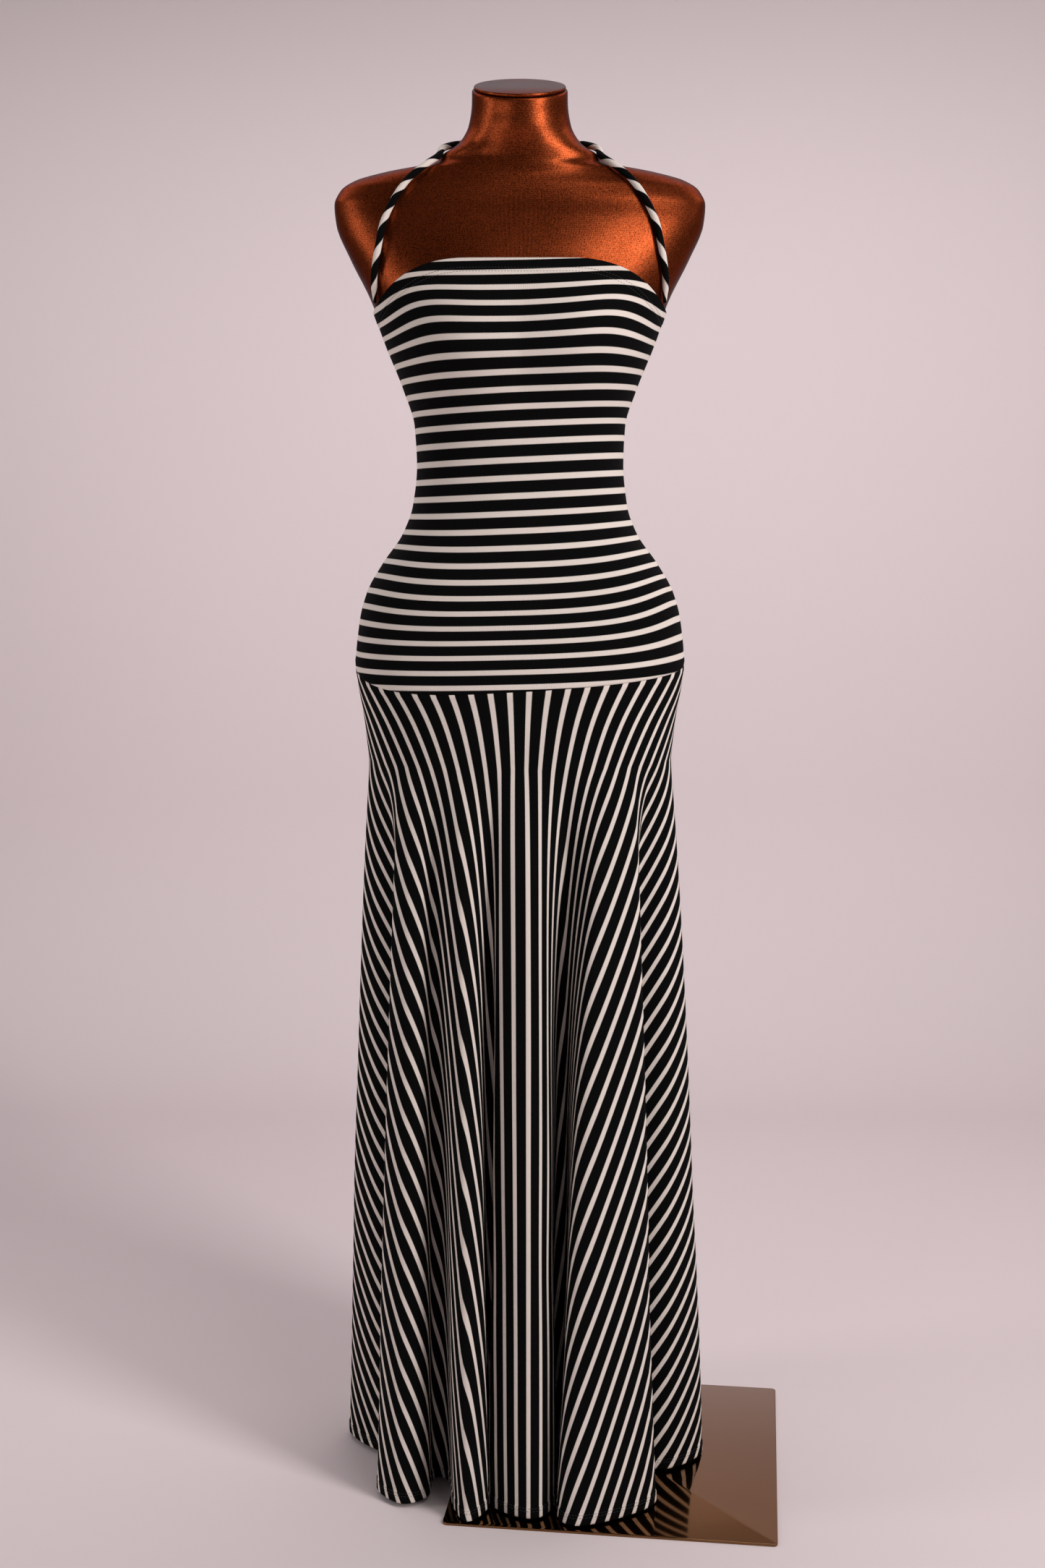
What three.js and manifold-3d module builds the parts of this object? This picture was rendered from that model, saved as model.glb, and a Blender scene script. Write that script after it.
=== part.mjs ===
// A halter dress in striped knit on a limbless dress form, which stands on a pole and a square plate.
// Millimetres, +Z up. The origin is on the floor, on the pole's axis. The front of the dress faces -Y.
import * as THREE from 'three';
import { mergeVertices } from 'three/addons/utils/BufferGeometryUtils.js';
import Module from 'manifold-3d';

const wasm = await Module();
wasm.setup();

// Driving sizes of the cloth
const clothThickness = 1.2;
const clothGap = 0.5;
const seamGap = 0.3;
const halfSeamGap = seamGap / 2;

// Driving sizes of the stand
const plateSide = 356;
const plateThickness = 3;
const plateCorner = 5;
const plateCentreX = 115;
const plateTurn = THREE.MathUtils.degToRad(-7);
const poleRadius = 14;
const poleReachIntoForm = 60;
const socketClearance = 0.3;

// Driving sizes of the form
const formBottom = 800;
const formEdgeRound = 10;
const formEdgeShoulder = 0.3;
const neckTop = 1499;
const neckTiltFrom = 1427;
const neckTilt = Math.tan(THREE.MathUtils.degToRad(20));
const neckCapThickness = 3;
const neckCapGap = 0.3;
const neckCapInset = 0.96;
const neckCapTopInset = 0.92;
const neckCapEdge = 0.6;
const formColumns = 48;

// The form's level sections. halfWidth is along X, front and back are depths from the line at lean,
// and square is the exponent of the superellipse, 2 for an ellipse.
const formSections = [
  { height: 800, halfWidth: 161, front: 108, back: 112, lean: 0, square: 2.2 },
  { height: 850, halfWidth: 166, front: 111, back: 119, lean: 0, square: 2.2 },
  { height: 907, halfWidth: 174, front: 113, back: 127, lean: 0, square: 2.2 },
  { height: 955, halfWidth: 169.5, front: 110, back: 122, lean: 0, square: 2.2 },
  { height: 985, halfWidth: 161.4, front: 107, back: 113, lean: 0, square: 2.15 },
  { height: 1015, halfWidth: 144.4, front: 102, back: 102, lean: 0, square: 2.1 },
  { height: 1046, halfWidth: 122.8, front: 96, back: 91, lean: 0, square: 2.1 },
  { height: 1077, halfWidth: 111.5, front: 91, back: 84, lean: 0, square: 2.1 },
  { height: 1120, halfWidth: 107, front: 89, back: 82, lean: 0, square: 2.1 },
  { height: 1160, halfWidth: 108.8, front: 92, back: 88, lean: 0, square: 2.1 },
  { height: 1197, halfWidth: 120, front: 101, back: 95, lean: 0, square: 2.15 },
  { height: 1242, halfWidth: 138, front: 112, back: 103, lean: 0, square: 2.2 },
  { height: 1290, halfWidth: 156, front: 108, back: 106, lean: 0, square: 2.3 },
  { height: 1331, halfWidth: 176.6, front: 93, back: 102, lean: 2, square: 2.4 },
  { height: 1366, halfWidth: 191, front: 76, back: 90, lean: 4, square: 2.5 },
  { height: 1386, halfWidth: 193, front: 66, back: 80, lean: 6, square: 2.5 },
  { height: 1401, halfWidth: 186.5, front: 60, back: 70, lean: 7, square: 2.3 },
  { height: 1411, halfWidth: 172, front: 56, back: 63, lean: 7, square: 2.0 },
  { height: 1419, halfWidth: 143, front: 54, back: 58, lean: 6, square: 1.8 },
  { height: 1427, halfWidth: 98, front: 52, back: 53, lean: 4, square: 1.8 },
  { height: 1437, halfWidth: 80, front: 51, back: 50, lean: 1, square: 1.9 },
  { height: 1448, halfWidth: 62.5, front: 50, back: 48, lean: -3, square: 2.0 },
  { height: 1465, halfWidth: 52.5, front: 50, back: 46, lean: -8, square: 2.0 },
  { height: 1485, halfWidth: 49.3, front: 49, back: 46, lean: -12, square: 2.0 },
  { height: neckTop, halfWidth: 49, front: 49, back: 46, lean: -15, square: 2.0 },
];

// The two soft rises at the front of the chest, which the bodice lies over
const bust = { apart: 72, height: 1243, reach: 15, spreadX: 36, spreadZ: 36 };

// Bodice: where its lower and upper edges lie, at the centre front, the sides and the centre back
const seamFront = 890;
const seamSide = 910;
const seamBack = 906;
const seamCurve = 1.5;
const seamSkew = 6;
const necklineFront = 1321;
const necklineSide = 1277;
const necklineFlat = 15;
const necklineCorner = 85;
const bodiceRows = 16;

// Skirt: where it leaves the form, the height of its hem, and how fast the folds open below the form
const skirtLeaves = formBottom + formEdgeRound - 2;
const hemHeight = 6;
const foldOpening = 0.7;
const skirtSteps = [0.02, 0.06, 0.13, 0.22, 0.33, 0.46, 0.6, 0.74, 0.87, 1];
const frontCut = 45;
const wholeCut = 180;
const samplesPerStretch = 24;

// The folds at the hem, from the left side round the front. cut is the angle in the skirt's flat cut, in
// degrees from the centre front, at the crest in (x, y). The lobe faces the angle facing, reaches left and
// right of its crest and falls back by drop. The valley after it has its bottom in (valleyX, valleyY).
const folds = [
  { cut: -39.5, x: -199, y: 50, facing: -95, left: 42, right: 48, drop: 38, valleyX: -100, valleyY: -25 },
  { cut: -24, x: -128, y: -120, facing: -25, left: 42, right: 17, drop: 22, valleyX: -89, valleyY: -66 },
  { cut: -13, x: -56, y: -156, facing: -3, left: 15, right: 17, drop: 25, valleyX: -30, valleyY: -70 },
  { cut: 0.7, x: 14, y: -151, facing: 0, left: 46, right: 24, drop: 31, valleyX: 43, valleyY: -26 },
  { cut: 19.5, x: 60, y: -165, facing: 20, left: 11, right: 98, drop: 18, valleyX: 78, valleyY: -36 },
  { cut: 39, x: 207, y: -3, facing: 80, left: 48, right: 42, drop: 34, valleyX: 88, valleyY: 40 },
  { cut: 55.5, x: 166, y: 90, facing: 118, left: 24, right: 26, drop: 24, valleyX: 54, valleyY: 50 },
  { cut: 72, x: 98, y: 146, facing: 146, left: 24, right: 24, drop: 24, valleyX: 22, valleyY: 62 },
  { cut: 88, x: 20, y: 167, facing: 175, left: 26, right: 22, drop: 25, valleyX: -8, valleyY: 60 },
  { cut: 105, x: -62, y: 161, facing: 203, left: 24, right: 25, drop: 24, valleyX: -38, valleyY: 56 },
  { cut: 122.5, x: -137, y: 119, facing: 229, left: 23, right: 17, drop: 24, valleyX: -68, valleyY: 38 },
];
const valleyHalfWidth = 7;
const pointsPerFold = 5;
const columnsPerStretch = [3, 3, 2, 2, 2];
const seamClear = 0.35;

// Strap: a round tube sewn of bias-cut cloth, from one corner of the bodice round the nape to the other.
// turn is the angle round the form from the centre front, in degrees, and mirrored for the other side.
const strapRadius = 3.5;
const strapSides = 8;
const strapSteps = 72;
const strapLift = 1.2;
const strapRoute = [
  { turn: 68, height: 1285.8 },
  { turn: 64, height: 1295.5 },
  { turn: 58.5, height: 1309 },
  { turn: 53.1, height: 1322 },
  { turn: 48.2, height: 1336.5 },
  { turn: 41.3, height: 1360 },
  { turn: 35.5, height: 1385 },
  { turn: 35, height: 1404 },
  { turn: 43, height: 1419 },
  { turn: 62, height: 1429 },
  { turn: 80, height: 1437.5 },
  { turn: 105, height: 1444.5 },
  { turn: 140, height: 1450.5 },
];
const strapNape = { turn: 180, height: 1453 };

// Finishes
const clothFinish = new THREE.MeshStandardMaterial({ color: 0x1b1a1b, roughness: 0.9, metalness: 0 });
const strapFinish = new THREE.MeshStandardMaterial({ color: 0xd9cfc8, roughness: 0.9, metalness: 0 });
const satinFinish = new THREE.MeshStandardMaterial({ color: 0x6e280f, roughness: 0.45, metalness: 0 });
const plateFinish = new THREE.MeshStandardMaterial({ color: 0x6b4a30, roughness: 0.08, metalness: 1 });
const poleFinish = new THREE.MeshStandardMaterial({ color: 0x9a9a9a, roughness: 0.3, metalness: 1 });

const degrees = THREE.MathUtils.degToRad;
const lerp = THREE.MathUtils.lerp;

// Reads one column of a table at a height, on a smooth curve that never swings past its rows
function readTable(rows, column, height) {
  const last = rows.length - 1;
  const z = THREE.MathUtils.clamp(height, rows[0].height, rows[last].height);
  let i = 0;
  while (i < last - 1 && z > rows[i + 1].height) {
    i += 1;
  }
  const slope = (k) => (rows[k + 1][column] - rows[k][column]) / (rows[k + 1].height - rows[k].height);
  const tangent = (k) => {
    if (k === 0) {
      return slope(0);
    }
    if (k === last) {
      return slope(last - 1);
    }
    const before = slope(k - 1);
    const after = slope(k);
    return before * after <= 0 ? 0 : (2 * before * after) / (before + after);
  };
  const step = rows[i + 1].height - rows[i].height;
  const t = (z - rows[i].height) / step;
  const t2 = t * t;
  const t3 = t2 * t;
  return (2 * t3 - 3 * t2 + 1) * rows[i][column] + (t3 - 2 * t2 + t) * step * tangent(i)
    + (3 * t2 - 2 * t3) * rows[i + 1][column] + (t3 - t2) * step * tangent(i + 1);
}

// A signed power, which keeps the superellipse's quarters apart
function signedPower(value, power) {
  return Math.sign(value) * Math.abs(value) ** power;
}

// A point on the form, at an angle round it from the centre front and at a height
function formPoint(turn, height) {
  const halfWidth = readTable(formSections, 'halfWidth', height);
  const lean = readTable(formSections, 'lean', height);
  const power = 2 / readTable(formSections, 'square', height);
  const ahead = Math.cos(turn);
  const depth = readTable(formSections, ahead > 0 ? 'front' : 'back', height);
  const x = halfWidth * signedPower(Math.sin(turn), power);
  const up = ((height - bust.height) / bust.spreadZ) ** 2;
  const across = ((Math.abs(x) - bust.apart) / bust.spreadX) ** 2;
  const rise = ahead > 0 ? bust.reach * Math.exp(-(up + across) / 2) : 0;
  const y = lean - depth * signedPower(ahead, power) - rise * ahead;
  const tilt = neckTilt * THREE.MathUtils.smoothstep(height, neckTiltFrom, neckTop);
  return new THREE.Vector3(x, y, height + tilt * (y - lean));
}

// The direction straight out of the form at such a point
function formNormal(turn, height) {
  const small = 0.01;
  const low = Math.max(height - 1, formBottom);
  const high = Math.min(height + 1, neckTop);
  const along = formPoint(turn + small, height).sub(formPoint(turn - small, height));
  const upward = formPoint(turn, high).sub(formPoint(turn, low));
  return along.cross(upward).normalize();
}

// A point that lies off the form by a distance
function offForm(turn, height, distance) {
  return formPoint(turn, height).addScaledVector(formNormal(turn, height), distance);
}

// The height of the seam between bodice and skirt, and of the bodice's upper edge
function seamHeight(turn) {
  const ahead = Math.cos(turn);
  if (ahead < 0) {
    return lerp(seamSide, seamBack, -ahead);
  }
  return lerp(seamFront, seamSide, (1 - ahead) ** seamCurve) + seamSkew * Math.sin(2 * turn);
}

function necklineHeight(turn) {
  const away = Math.acos(Math.cos(turn));
  const fall = THREE.MathUtils.smoothstep(away, degrees(necklineFlat), degrees(necklineCorner));
  return lerp(necklineFront, necklineSide, fall);
}

// A geometry from points and the faces between them, each face three places in the list of points
function geometryOf(points, faces) {
  const geometry = new THREE.BufferGeometry();
  const numbers = points.flatMap((p) => [p.x, p.y, p.z]);
  geometry.setAttribute('position', new THREE.Float32BufferAttribute(numbers, 3));
  geometry.setIndex(faces.flat());
  return geometry;
}

// The two triangles of a four-cornered face, given anticlockwise as seen from outside
function fourSided(a, b, c, d) {
  return [[a, b, c], [a, c, d]];
}

// A closed body from rings of points, from the lowest up, with a flat end at each
function bodyOfRings(rings) {
  const count = rings[0].length;
  const points = rings.flat();
  const faces = [];
  for (let r = 0; r < rings.length - 1; r += 1) {
    for (let c = 0; c < count; c += 1) {
      const next = (c + 1) % count;
      faces.push(...fourSided(r * count + c, r * count + next, (r + 1) * count + next, (r + 1) * count + c));
    }
  }
  const middleOf = (ring) => ring.reduce((sum, p) => sum.add(p), new THREE.Vector3()).divideScalar(count);
  const bottom = points.push(middleOf(rings[0])) - 1;
  const top = points.push(middleOf(rings[rings.length - 1])) - 1;
  const lastRing = (rings.length - 1) * count;
  for (let c = 0; c < count; c += 1) {
    const next = (c + 1) % count;
    faces.push([bottom, next, c]);
    faces.push([top, lastRing + c, lastRing + next]);
  }
  return geometryOf(points, faces);
}

// A wall of cloth between two sheets of points, each an array of rows from the lowest up
function wallOfSheets(inner, outer) {
  const rows = inner.length;
  const columns = inner[0].length;
  const points = [...inner.flat(), ...outer.flat()];
  const inside = (r, c) => r * columns + c;
  const outside = (r, c) => rows * columns + r * columns + c;
  const faces = [];
  for (let r = 0; r < rows - 1; r += 1) {
    for (let c = 0; c < columns - 1; c += 1) {
      faces.push([outside(r, c), outside(r, c + 1), outside(r + 1, c + 1)]);
      faces.push([outside(r, c), outside(r + 1, c + 1), outside(r + 1, c)]);
      faces.push([inside(r, c), inside(r + 1, c + 1), inside(r, c + 1)]);
      faces.push([inside(r, c), inside(r + 1, c), inside(r + 1, c + 1)]);
    }
  }
  for (let c = 0; c < columns - 1; c += 1) {
    faces.push(...fourSided(inside(0, c), inside(0, c + 1), outside(0, c + 1), outside(0, c)));
    const top = rows - 1;
    faces.push(...fourSided(outside(top, c), outside(top, c + 1), inside(top, c + 1), inside(top, c)));
  }
  for (let r = 0; r < rows - 1; r += 1) {
    faces.push(...fourSided(inside(r, 0), outside(r, 0), outside(r + 1, 0), inside(r + 1, 0)));
    const end = columns - 1;
    faces.push(...fourSided(outside(r, end), inside(r, end), inside(r + 1, end), outside(r + 1, end)));
  }
  return geometryOf(points, faces);
}

// Turns a closed geometry into a solid that can be cut, and back
function solidOf(geometry) {
  const bare = geometry.clone();
  bare.deleteAttribute('normal');
  bare.deleteAttribute('uv');
  const merged = mergeVertices(bare);
  const mesh = new wasm.Mesh({
    numProp: 3,
    vertProperties: new Float32Array(merged.getAttribute('position').array),
    triVerts: new Uint32Array(merged.getIndex().array),
  });
  return new wasm.Manifold(mesh);
}

function geometryOfSolid(solid) {
  const mesh = solid.getMesh();
  const geometry = new THREE.BufferGeometry();
  geometry.setAttribute('position', new THREE.BufferAttribute(mesh.vertProperties, 3));
  geometry.setIndex(new THREE.BufferAttribute(mesh.triVerts, 1));
  return geometry;
}

function meshOf(name, geometry, finish) {
  const mesh = new THREE.Mesh(geometry, finish);
  mesh.name = name;
  return mesh;
}

// The form is one body: a rounded lower edge, the rows that the bodice shares, the shoulders and the neck
const formTurns = Array.from({ length: formColumns }, (_, i) => (i / formColumns - 0.25) * 2 * Math.PI);
const shoulderHeights = [
  1352, 1368, 1382, 1393, 1402, 1409, 1415, 1421, 1428, 1437, 1449, 1465, 1482, neckTop,
];

function formRing(heightAt) {
  return formTurns.map((turn) => formPoint(turn, heightAt(turn)));
}

function insetRing(inset, height) {
  return formTurns.map((turn) => {
    const point = formPoint(turn, formBottom + formEdgeRound);
    const inward = new THREE.Vector3(point.x, point.y, 0).setLength(inset);
    return point.sub(inward).setZ(height);
  });
}

function buildForm() {
  const rings = [
    insetRing(formEdgeRound, formBottom),
    insetRing(formEdgeRound * formEdgeShoulder, formBottom + formEdgeRound * formEdgeShoulder),
    formRing(() => formBottom + formEdgeRound),
    formRing((turn) => lerp(formBottom + formEdgeRound, seamHeight(turn), 0.5)),
  ];
  for (let i = 0; i <= bodiceRows; i += 1) {
    rings.push(formRing((turn) => lerp(seamHeight(turn), necklineHeight(turn), i / bodiceRows)));
  }
  rings.push(formRing((turn) => lerp(necklineHeight(turn), shoulderHeights[0], 0.5)));
  for (const height of shoulderHeights) {
    rings.push(formRing(() => height));
  }
  const socket = new THREE.CylinderGeometry(
    poleRadius + socketClearance,
    poleRadius + socketClearance,
    poleReachIntoForm * 2,
    formColumns / 2,
  );
  socket.rotateX(Math.PI / 2);
  socket.translate(0, 0, formBottom);
  return geometryOfSolid(solidOf(bodyOfRings(rings)).subtract(solidOf(socket)));
}

// The covered lid of the neck, on its sloping cut
function buildNeckCap() {
  const middle = formPoint(0, neckTop).add(formPoint(Math.PI, neckTop)).multiplyScalar(0.5);
  const rise = new THREE.Vector3(0, -neckTilt, 1).normalize();
  const ringAt = (inset, lift) => formTurns.map((turn) => {
    return formPoint(turn, neckTop).sub(middle).multiplyScalar(inset).add(middle).addScaledVector(rise, lift);
  });
  return bodyOfRings([
    ringAt(neckCapInset, neckCapGap),
    ringAt(neckCapInset, neckCapGap + neckCapThickness * neckCapEdge),
    ringAt(neckCapTopInset, neckCapGap + neckCapThickness),
  ]);
}

// One panel of the bodice, over the form's own points between two side seams
function buildBodice(fromTurn, toTurn) {
  const columns = formColumns / 2;
  const sideGap = halfSeamGap / formSections[0].halfWidth;
  const sheet = (distance) => {
    const rows = [];
    for (let r = 0; r <= bodiceRows; r += 1) {
      const row = [];
      for (let c = 0; c <= columns; c += 1) {
        const inset = c === 0 ? sideGap : c === columns ? -sideGap : 0;
        const turn = lerp(fromTurn, toTurn, c / columns) + inset;
        const lower = seamHeight(turn) + halfSeamGap;
        row.push(offForm(turn, lerp(lower, necklineHeight(turn), r / bodiceRows), distance));
      }
      rows.push(row);
    }
    return rows;
  };
  return wallOfSheets(sheet(clothGap), sheet(clothGap + clothThickness));
}

// The hem as seen from above: shoulder, crest, shoulder and the two sides of the valley of each fold
function hemPoints() {
  const points = [];
  folds.forEach((fold, i) => {
    const after = folds[(i + 1) % folds.length];
    const facing = degrees(fold.facing);
    const outward = new THREE.Vector2(Math.sin(facing), -Math.cos(facing));
    const along = new THREE.Vector2(Math.cos(facing), Math.sin(facing));
    const crest = new THREE.Vector2(fold.x, fold.y);
    const valley = new THREE.Vector2(fold.valleyX, fold.valleyY);
    const mouth = new THREE.Vector2(fold.x + after.x, fold.y + after.y).multiplyScalar(0.5);
    const outOfValley = mouth.sub(valley).normalize();
    const across = new THREE.Vector2(-outOfValley.y, outOfValley.x).multiplyScalar(valleyHalfWidth);
    points.push(crest.clone().addScaledVector(along, -fold.left).addScaledVector(outward, -fold.drop));
    points.push(crest);
    points.push(crest.clone().addScaledVector(along, fold.right).addScaledVector(outward, -fold.drop));
    points.push(valley.clone().sub(across));
    points.push(valley.clone().add(across));
  });
  return points.map((p) => new THREE.Vector3(p.x, p.y, hemHeight));
}

const hemCurve = new THREE.CatmullRomCurve3(hemPoints(), true, 'centripetal');
const hemStretches = folds.length * pointsPerFold;

// The angle in the flat cut at each place of the hem, in proportion to the hem's length between crests
function hemCuts() {
  const count = hemStretches * samplesPerStretch;
  const lengths = [0];
  for (let i = 1; i <= count; i += 1) {
    const step = hemCurve.getPoint(i / count).distanceTo(hemCurve.getPoint((i - 1) / count));
    lengths.push(lengths[i - 1] + step);
  }
  const crestSample = (fold) => (fold * pointsPerFold + 1) * samplesPerStretch;
  const total = lengths[count];
  const lengthAt = (sample) => lengths[sample % count] + Math.floor(sample / count) * total;
  const cuts = [];
  for (let fold = 0; fold < folds.length; fold += 1) {
    const from = crestSample(fold);
    const to = crestSample(fold + 1);
    const last = fold === folds.length - 1;
    const toCut = last ? folds[0].cut + wholeCut : folds[fold + 1].cut;
    for (let sample = from; sample < to; sample += 1) {
      const share = (lengthAt(sample) - lengthAt(from)) / (lengthAt(to) - lengthAt(from));
      cuts.push({ place: sample / count, cut: lerp(folds[fold].cut, toCut, share) });
    }
  }
  return cuts;
}

// The skirt's columns, from the left side seam round the front and the back to the same seam
function skirtColumns() {
  const cuts = hemCuts();
  const whole = [...cuts, ...cuts.map(({ place, cut }) => ({ place: place + 1, cut: cut + wholeCut }))];
  const placeOf = (cut) => {
    const i = whole.findIndex((entry) => entry.cut >= cut);
    const share = (cut - whole[i - 1].cut) / (whole[i].cut - whole[i - 1].cut);
    return lerp(whole[i - 1].place, whole[i].place, share);
  };
  const regular = [];
  for (let i = 0; i < whole.length; i += 1) {
    const sample = Math.round(whole[i].place * hemStretches * samplesPerStretch);
    const stretch = Math.floor(sample / samplesPerStretch) % pointsPerFold;
    const every = samplesPerStretch / columnsPerStretch[stretch];
    if ((sample % samplesPerStretch) % every === 0) {
      regular.push(whole[i]);
    }
  }
  const left = wholeCut - frontCut;
  const right = wholeCut + frontCut;
  const leftAgain = left + wholeCut;
  const between = (from, to) => regular.filter(({ cut }) => cut > from + seamClear && cut < to - seamClear);
  const leftSeam = { place: placeOf(left), cut: left };
  const rightSeam = { place: placeOf(right), cut: right };
  return {
    front: [leftSeam, ...between(left, right), rightSeam],
    back: [...between(right, leftAgain), { place: leftSeam.place + 1, cut: leftAgain }],
  };
}

// The angle round the form for an angle in the flat cut, spread evenly along the hip
function turnOfCut() {
  const fine = 720;
  const turns = [0];
  const lengths = [0];
  for (let i = 1; i <= fine; i += 1) {
    const turn = (i / fine) * Math.PI;
    const step = formPoint(turn, skirtLeaves).distanceTo(formPoint(turns[i - 1], skirtLeaves));
    turns.push(turn);
    lengths.push(lengths[i - 1] + step);
  }
  const side = lengths[fine / 2];
  return (cut) => {
    const wrapped = THREE.MathUtils.euclideanModulo(cut + wholeCut / 2, wholeCut) - wholeCut / 2;
    const away = Math.abs(wrapped);
    const behind = away > frontCut;
    const length = behind
      ? lerp(side, lengths[fine], (away - frontCut) / (wholeCut / 2 - frontCut))
      : lerp(0, side, away / frontCut);
    const i = Math.max(1, lengths.findIndex((value) => value >= length - 1e-9));
    const share = (length - lengths[i - 1]) / (lengths[i] - lengths[i - 1]);
    return Math.sign(wrapped) * lerp(turns[i - 1], turns[i], share);
  };
}

// The skirt's inner sheet, closed round the form, as rows from the hem up
function skirtSheet(columns) {
  const turnAt = turnOfCut();
  const turns = columns.map(({ cut }) => turnAt(cut));
  const ring = turns.map((turn) => offForm(turn, skirtLeaves, clothGap));
  const hem = columns.map(({ place }) => hemCurve.getPoint(place % 1));
  const rows = [...skirtSteps].reverse().map((step) => columns.map((_, c) => {
    const opened = step ** foldOpening;
    const x = lerp(ring[c].x, hem[c].x, opened);
    const y = lerp(ring[c].y, hem[c].y, opened);
    return new THREE.Vector3(x, y, lerp(skirtLeaves, hemHeight, step));
  }));
  rows.push(ring);
  for (const share of [0.5, 1]) {
    rows.push(turns.map((turn) => {
      const top = seamHeight(turn) - halfSeamGap;
      return offForm(turn, lerp(skirtLeaves, top, share), clothGap);
    }));
  }
  return rows;
}

// The sheet moved out along its own directions by the cloth's thickness
function thickened(rows, distance) {
  const count = rows[0].length;
  return rows.map((row, r) => row.map((point, c) => {
    const along = row[(c + 1) % count].clone().sub(row[(c + count - 1) % count]);
    const upward = rows[Math.min(r + 1, rows.length - 1)][c].clone().sub(rows[Math.max(r - 1, 0)][c]);
    return point.clone().addScaledVector(along.cross(upward).normalize(), distance);
  }));
}

// Takes the columns of one panel, with its two edges drawn back from the side seams
function panelOf(rows, from, to) {
  const count = rows[0].length;
  return rows.map((row) => {
    const panel = [];
    for (let c = from; c <= to; c += 1) {
      panel.push(row[c % count].clone());
    }
    const last = panel.length - 1;
    const first = panel[0].clone();
    const final = panel[last].clone();
    panel[0].addScaledVector(panel[1].clone().sub(first).normalize(), halfSeamGap);
    panel[last].addScaledVector(panel[last - 1].clone().sub(final).normalize(), halfSeamGap);
    return panel;
  });
}

function buildSkirt() {
  const { front, back } = skirtColumns();
  const columns = [...front, ...back.slice(0, -1)];
  const inner = skirtSheet(columns);
  const outer = thickened(inner, clothThickness);
  const sideSeam = front.length - 1;
  return {
    front: wallOfSheets(panelOf(inner, 0, sideSeam), panelOf(outer, 0, sideSeam)),
    back: wallOfSheets(panelOf(inner, sideSeam, columns.length), panelOf(outer, sideSeam, columns.length)),
  };
}

// The strap runs up the left of the chest, over the shoulder, round the nape and down the right
function buildStrap() {
  const lift = strapRadius + strapLift;
  const left = strapRoute.map(({ turn, height }) => offForm(-degrees(turn), height, lift));
  const right = strapRoute.map(({ turn, height }) => offForm(degrees(turn), height, lift)).reverse();
  const nape = offForm(degrees(strapNape.turn), strapNape.height, lift);
  const path = new THREE.CatmullRomCurve3([...left, nape, ...right], false, 'centripetal');
  const section = new THREE.Shape();
  for (let i = 0; i < strapSides; i += 1) {
    const angle = (i / strapSides) * 2 * Math.PI;
    const x = strapRadius * Math.cos(angle);
    const y = strapRadius * Math.sin(angle);
    if (i === 0) {
      section.moveTo(x, y);
    } else {
      section.lineTo(x, y);
    }
  }
  return new THREE.ExtrudeGeometry(section, { steps: strapSteps, extrudePath: path });
}

// The pole stands on the plate and ends against the top of the form's socket
function buildPole() {
  const length = formBottom + poleReachIntoForm - plateThickness;
  const pole = new THREE.CylinderGeometry(poleRadius, poleRadius, length, formColumns / 2);
  pole.rotateX(Math.PI / 2);
  pole.translate(0, 0, plateThickness + length / 2);
  return pole;
}

// A thin square plate with slightly rounded corners, off the pole's axis and a little turned
function buildPlate() {
  const half = plateSide / 2;
  const arc = half - plateCorner;
  const outline = new THREE.Shape();
  outline.absarc(arc, arc, plateCorner, 0, Math.PI / 2);
  outline.absarc(-arc, arc, plateCorner, Math.PI / 2, Math.PI);
  outline.absarc(-arc, -arc, plateCorner, Math.PI, 1.5 * Math.PI);
  outline.absarc(arc, -arc, plateCorner, 1.5 * Math.PI, 2 * Math.PI);
  const plate = new THREE.ExtrudeGeometry(outline, {
    depth: plateThickness,
    bevelEnabled: false,
    curveSegments: 4,
  });
  plate.rotateZ(plateTurn);
  plate.translate(plateCentreX, 0, 0);
  return plate;
}

const quarter = Math.PI / 2;
const skirt = buildSkirt();
const dress = new THREE.Group();
dress.add(
  meshOf('bodice_front', buildBodice(-quarter, quarter), clothFinish),
  meshOf('bodice_back', buildBodice(quarter, 3 * quarter), clothFinish),
  meshOf('halter_strap', buildStrap(), strapFinish),
  meshOf('skirt_front', skirt.front, clothFinish),
  meshOf('skirt_back', skirt.back, clothFinish),
);

const stand = new THREE.Group();
stand.add(
  meshOf('form_torso', buildForm(), satinFinish),
  meshOf('form_neck_cap', buildNeckCap(), satinFinish),
  meshOf('stand_pole', buildPole(), poleFinish),
  meshOf('base_plate', buildPlate(), plateFinish),
);

const part = new THREE.Group();
part.add(dress, stand);

export default part;
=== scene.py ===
"""A halter dress in striped knit on a satin-covered dress form, with the form's pole and square plate.

Metres, +Z up. The front of the dress faces -Y, and the origin is on the floor, on the pole's axis.
"""
import logging
import math
from bisect import bisect_left
from dataclasses import dataclass, field
from enum import Enum
from typing import Callable

import bmesh
import bpy
from mathutils import Matrix, Vector, noise


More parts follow.
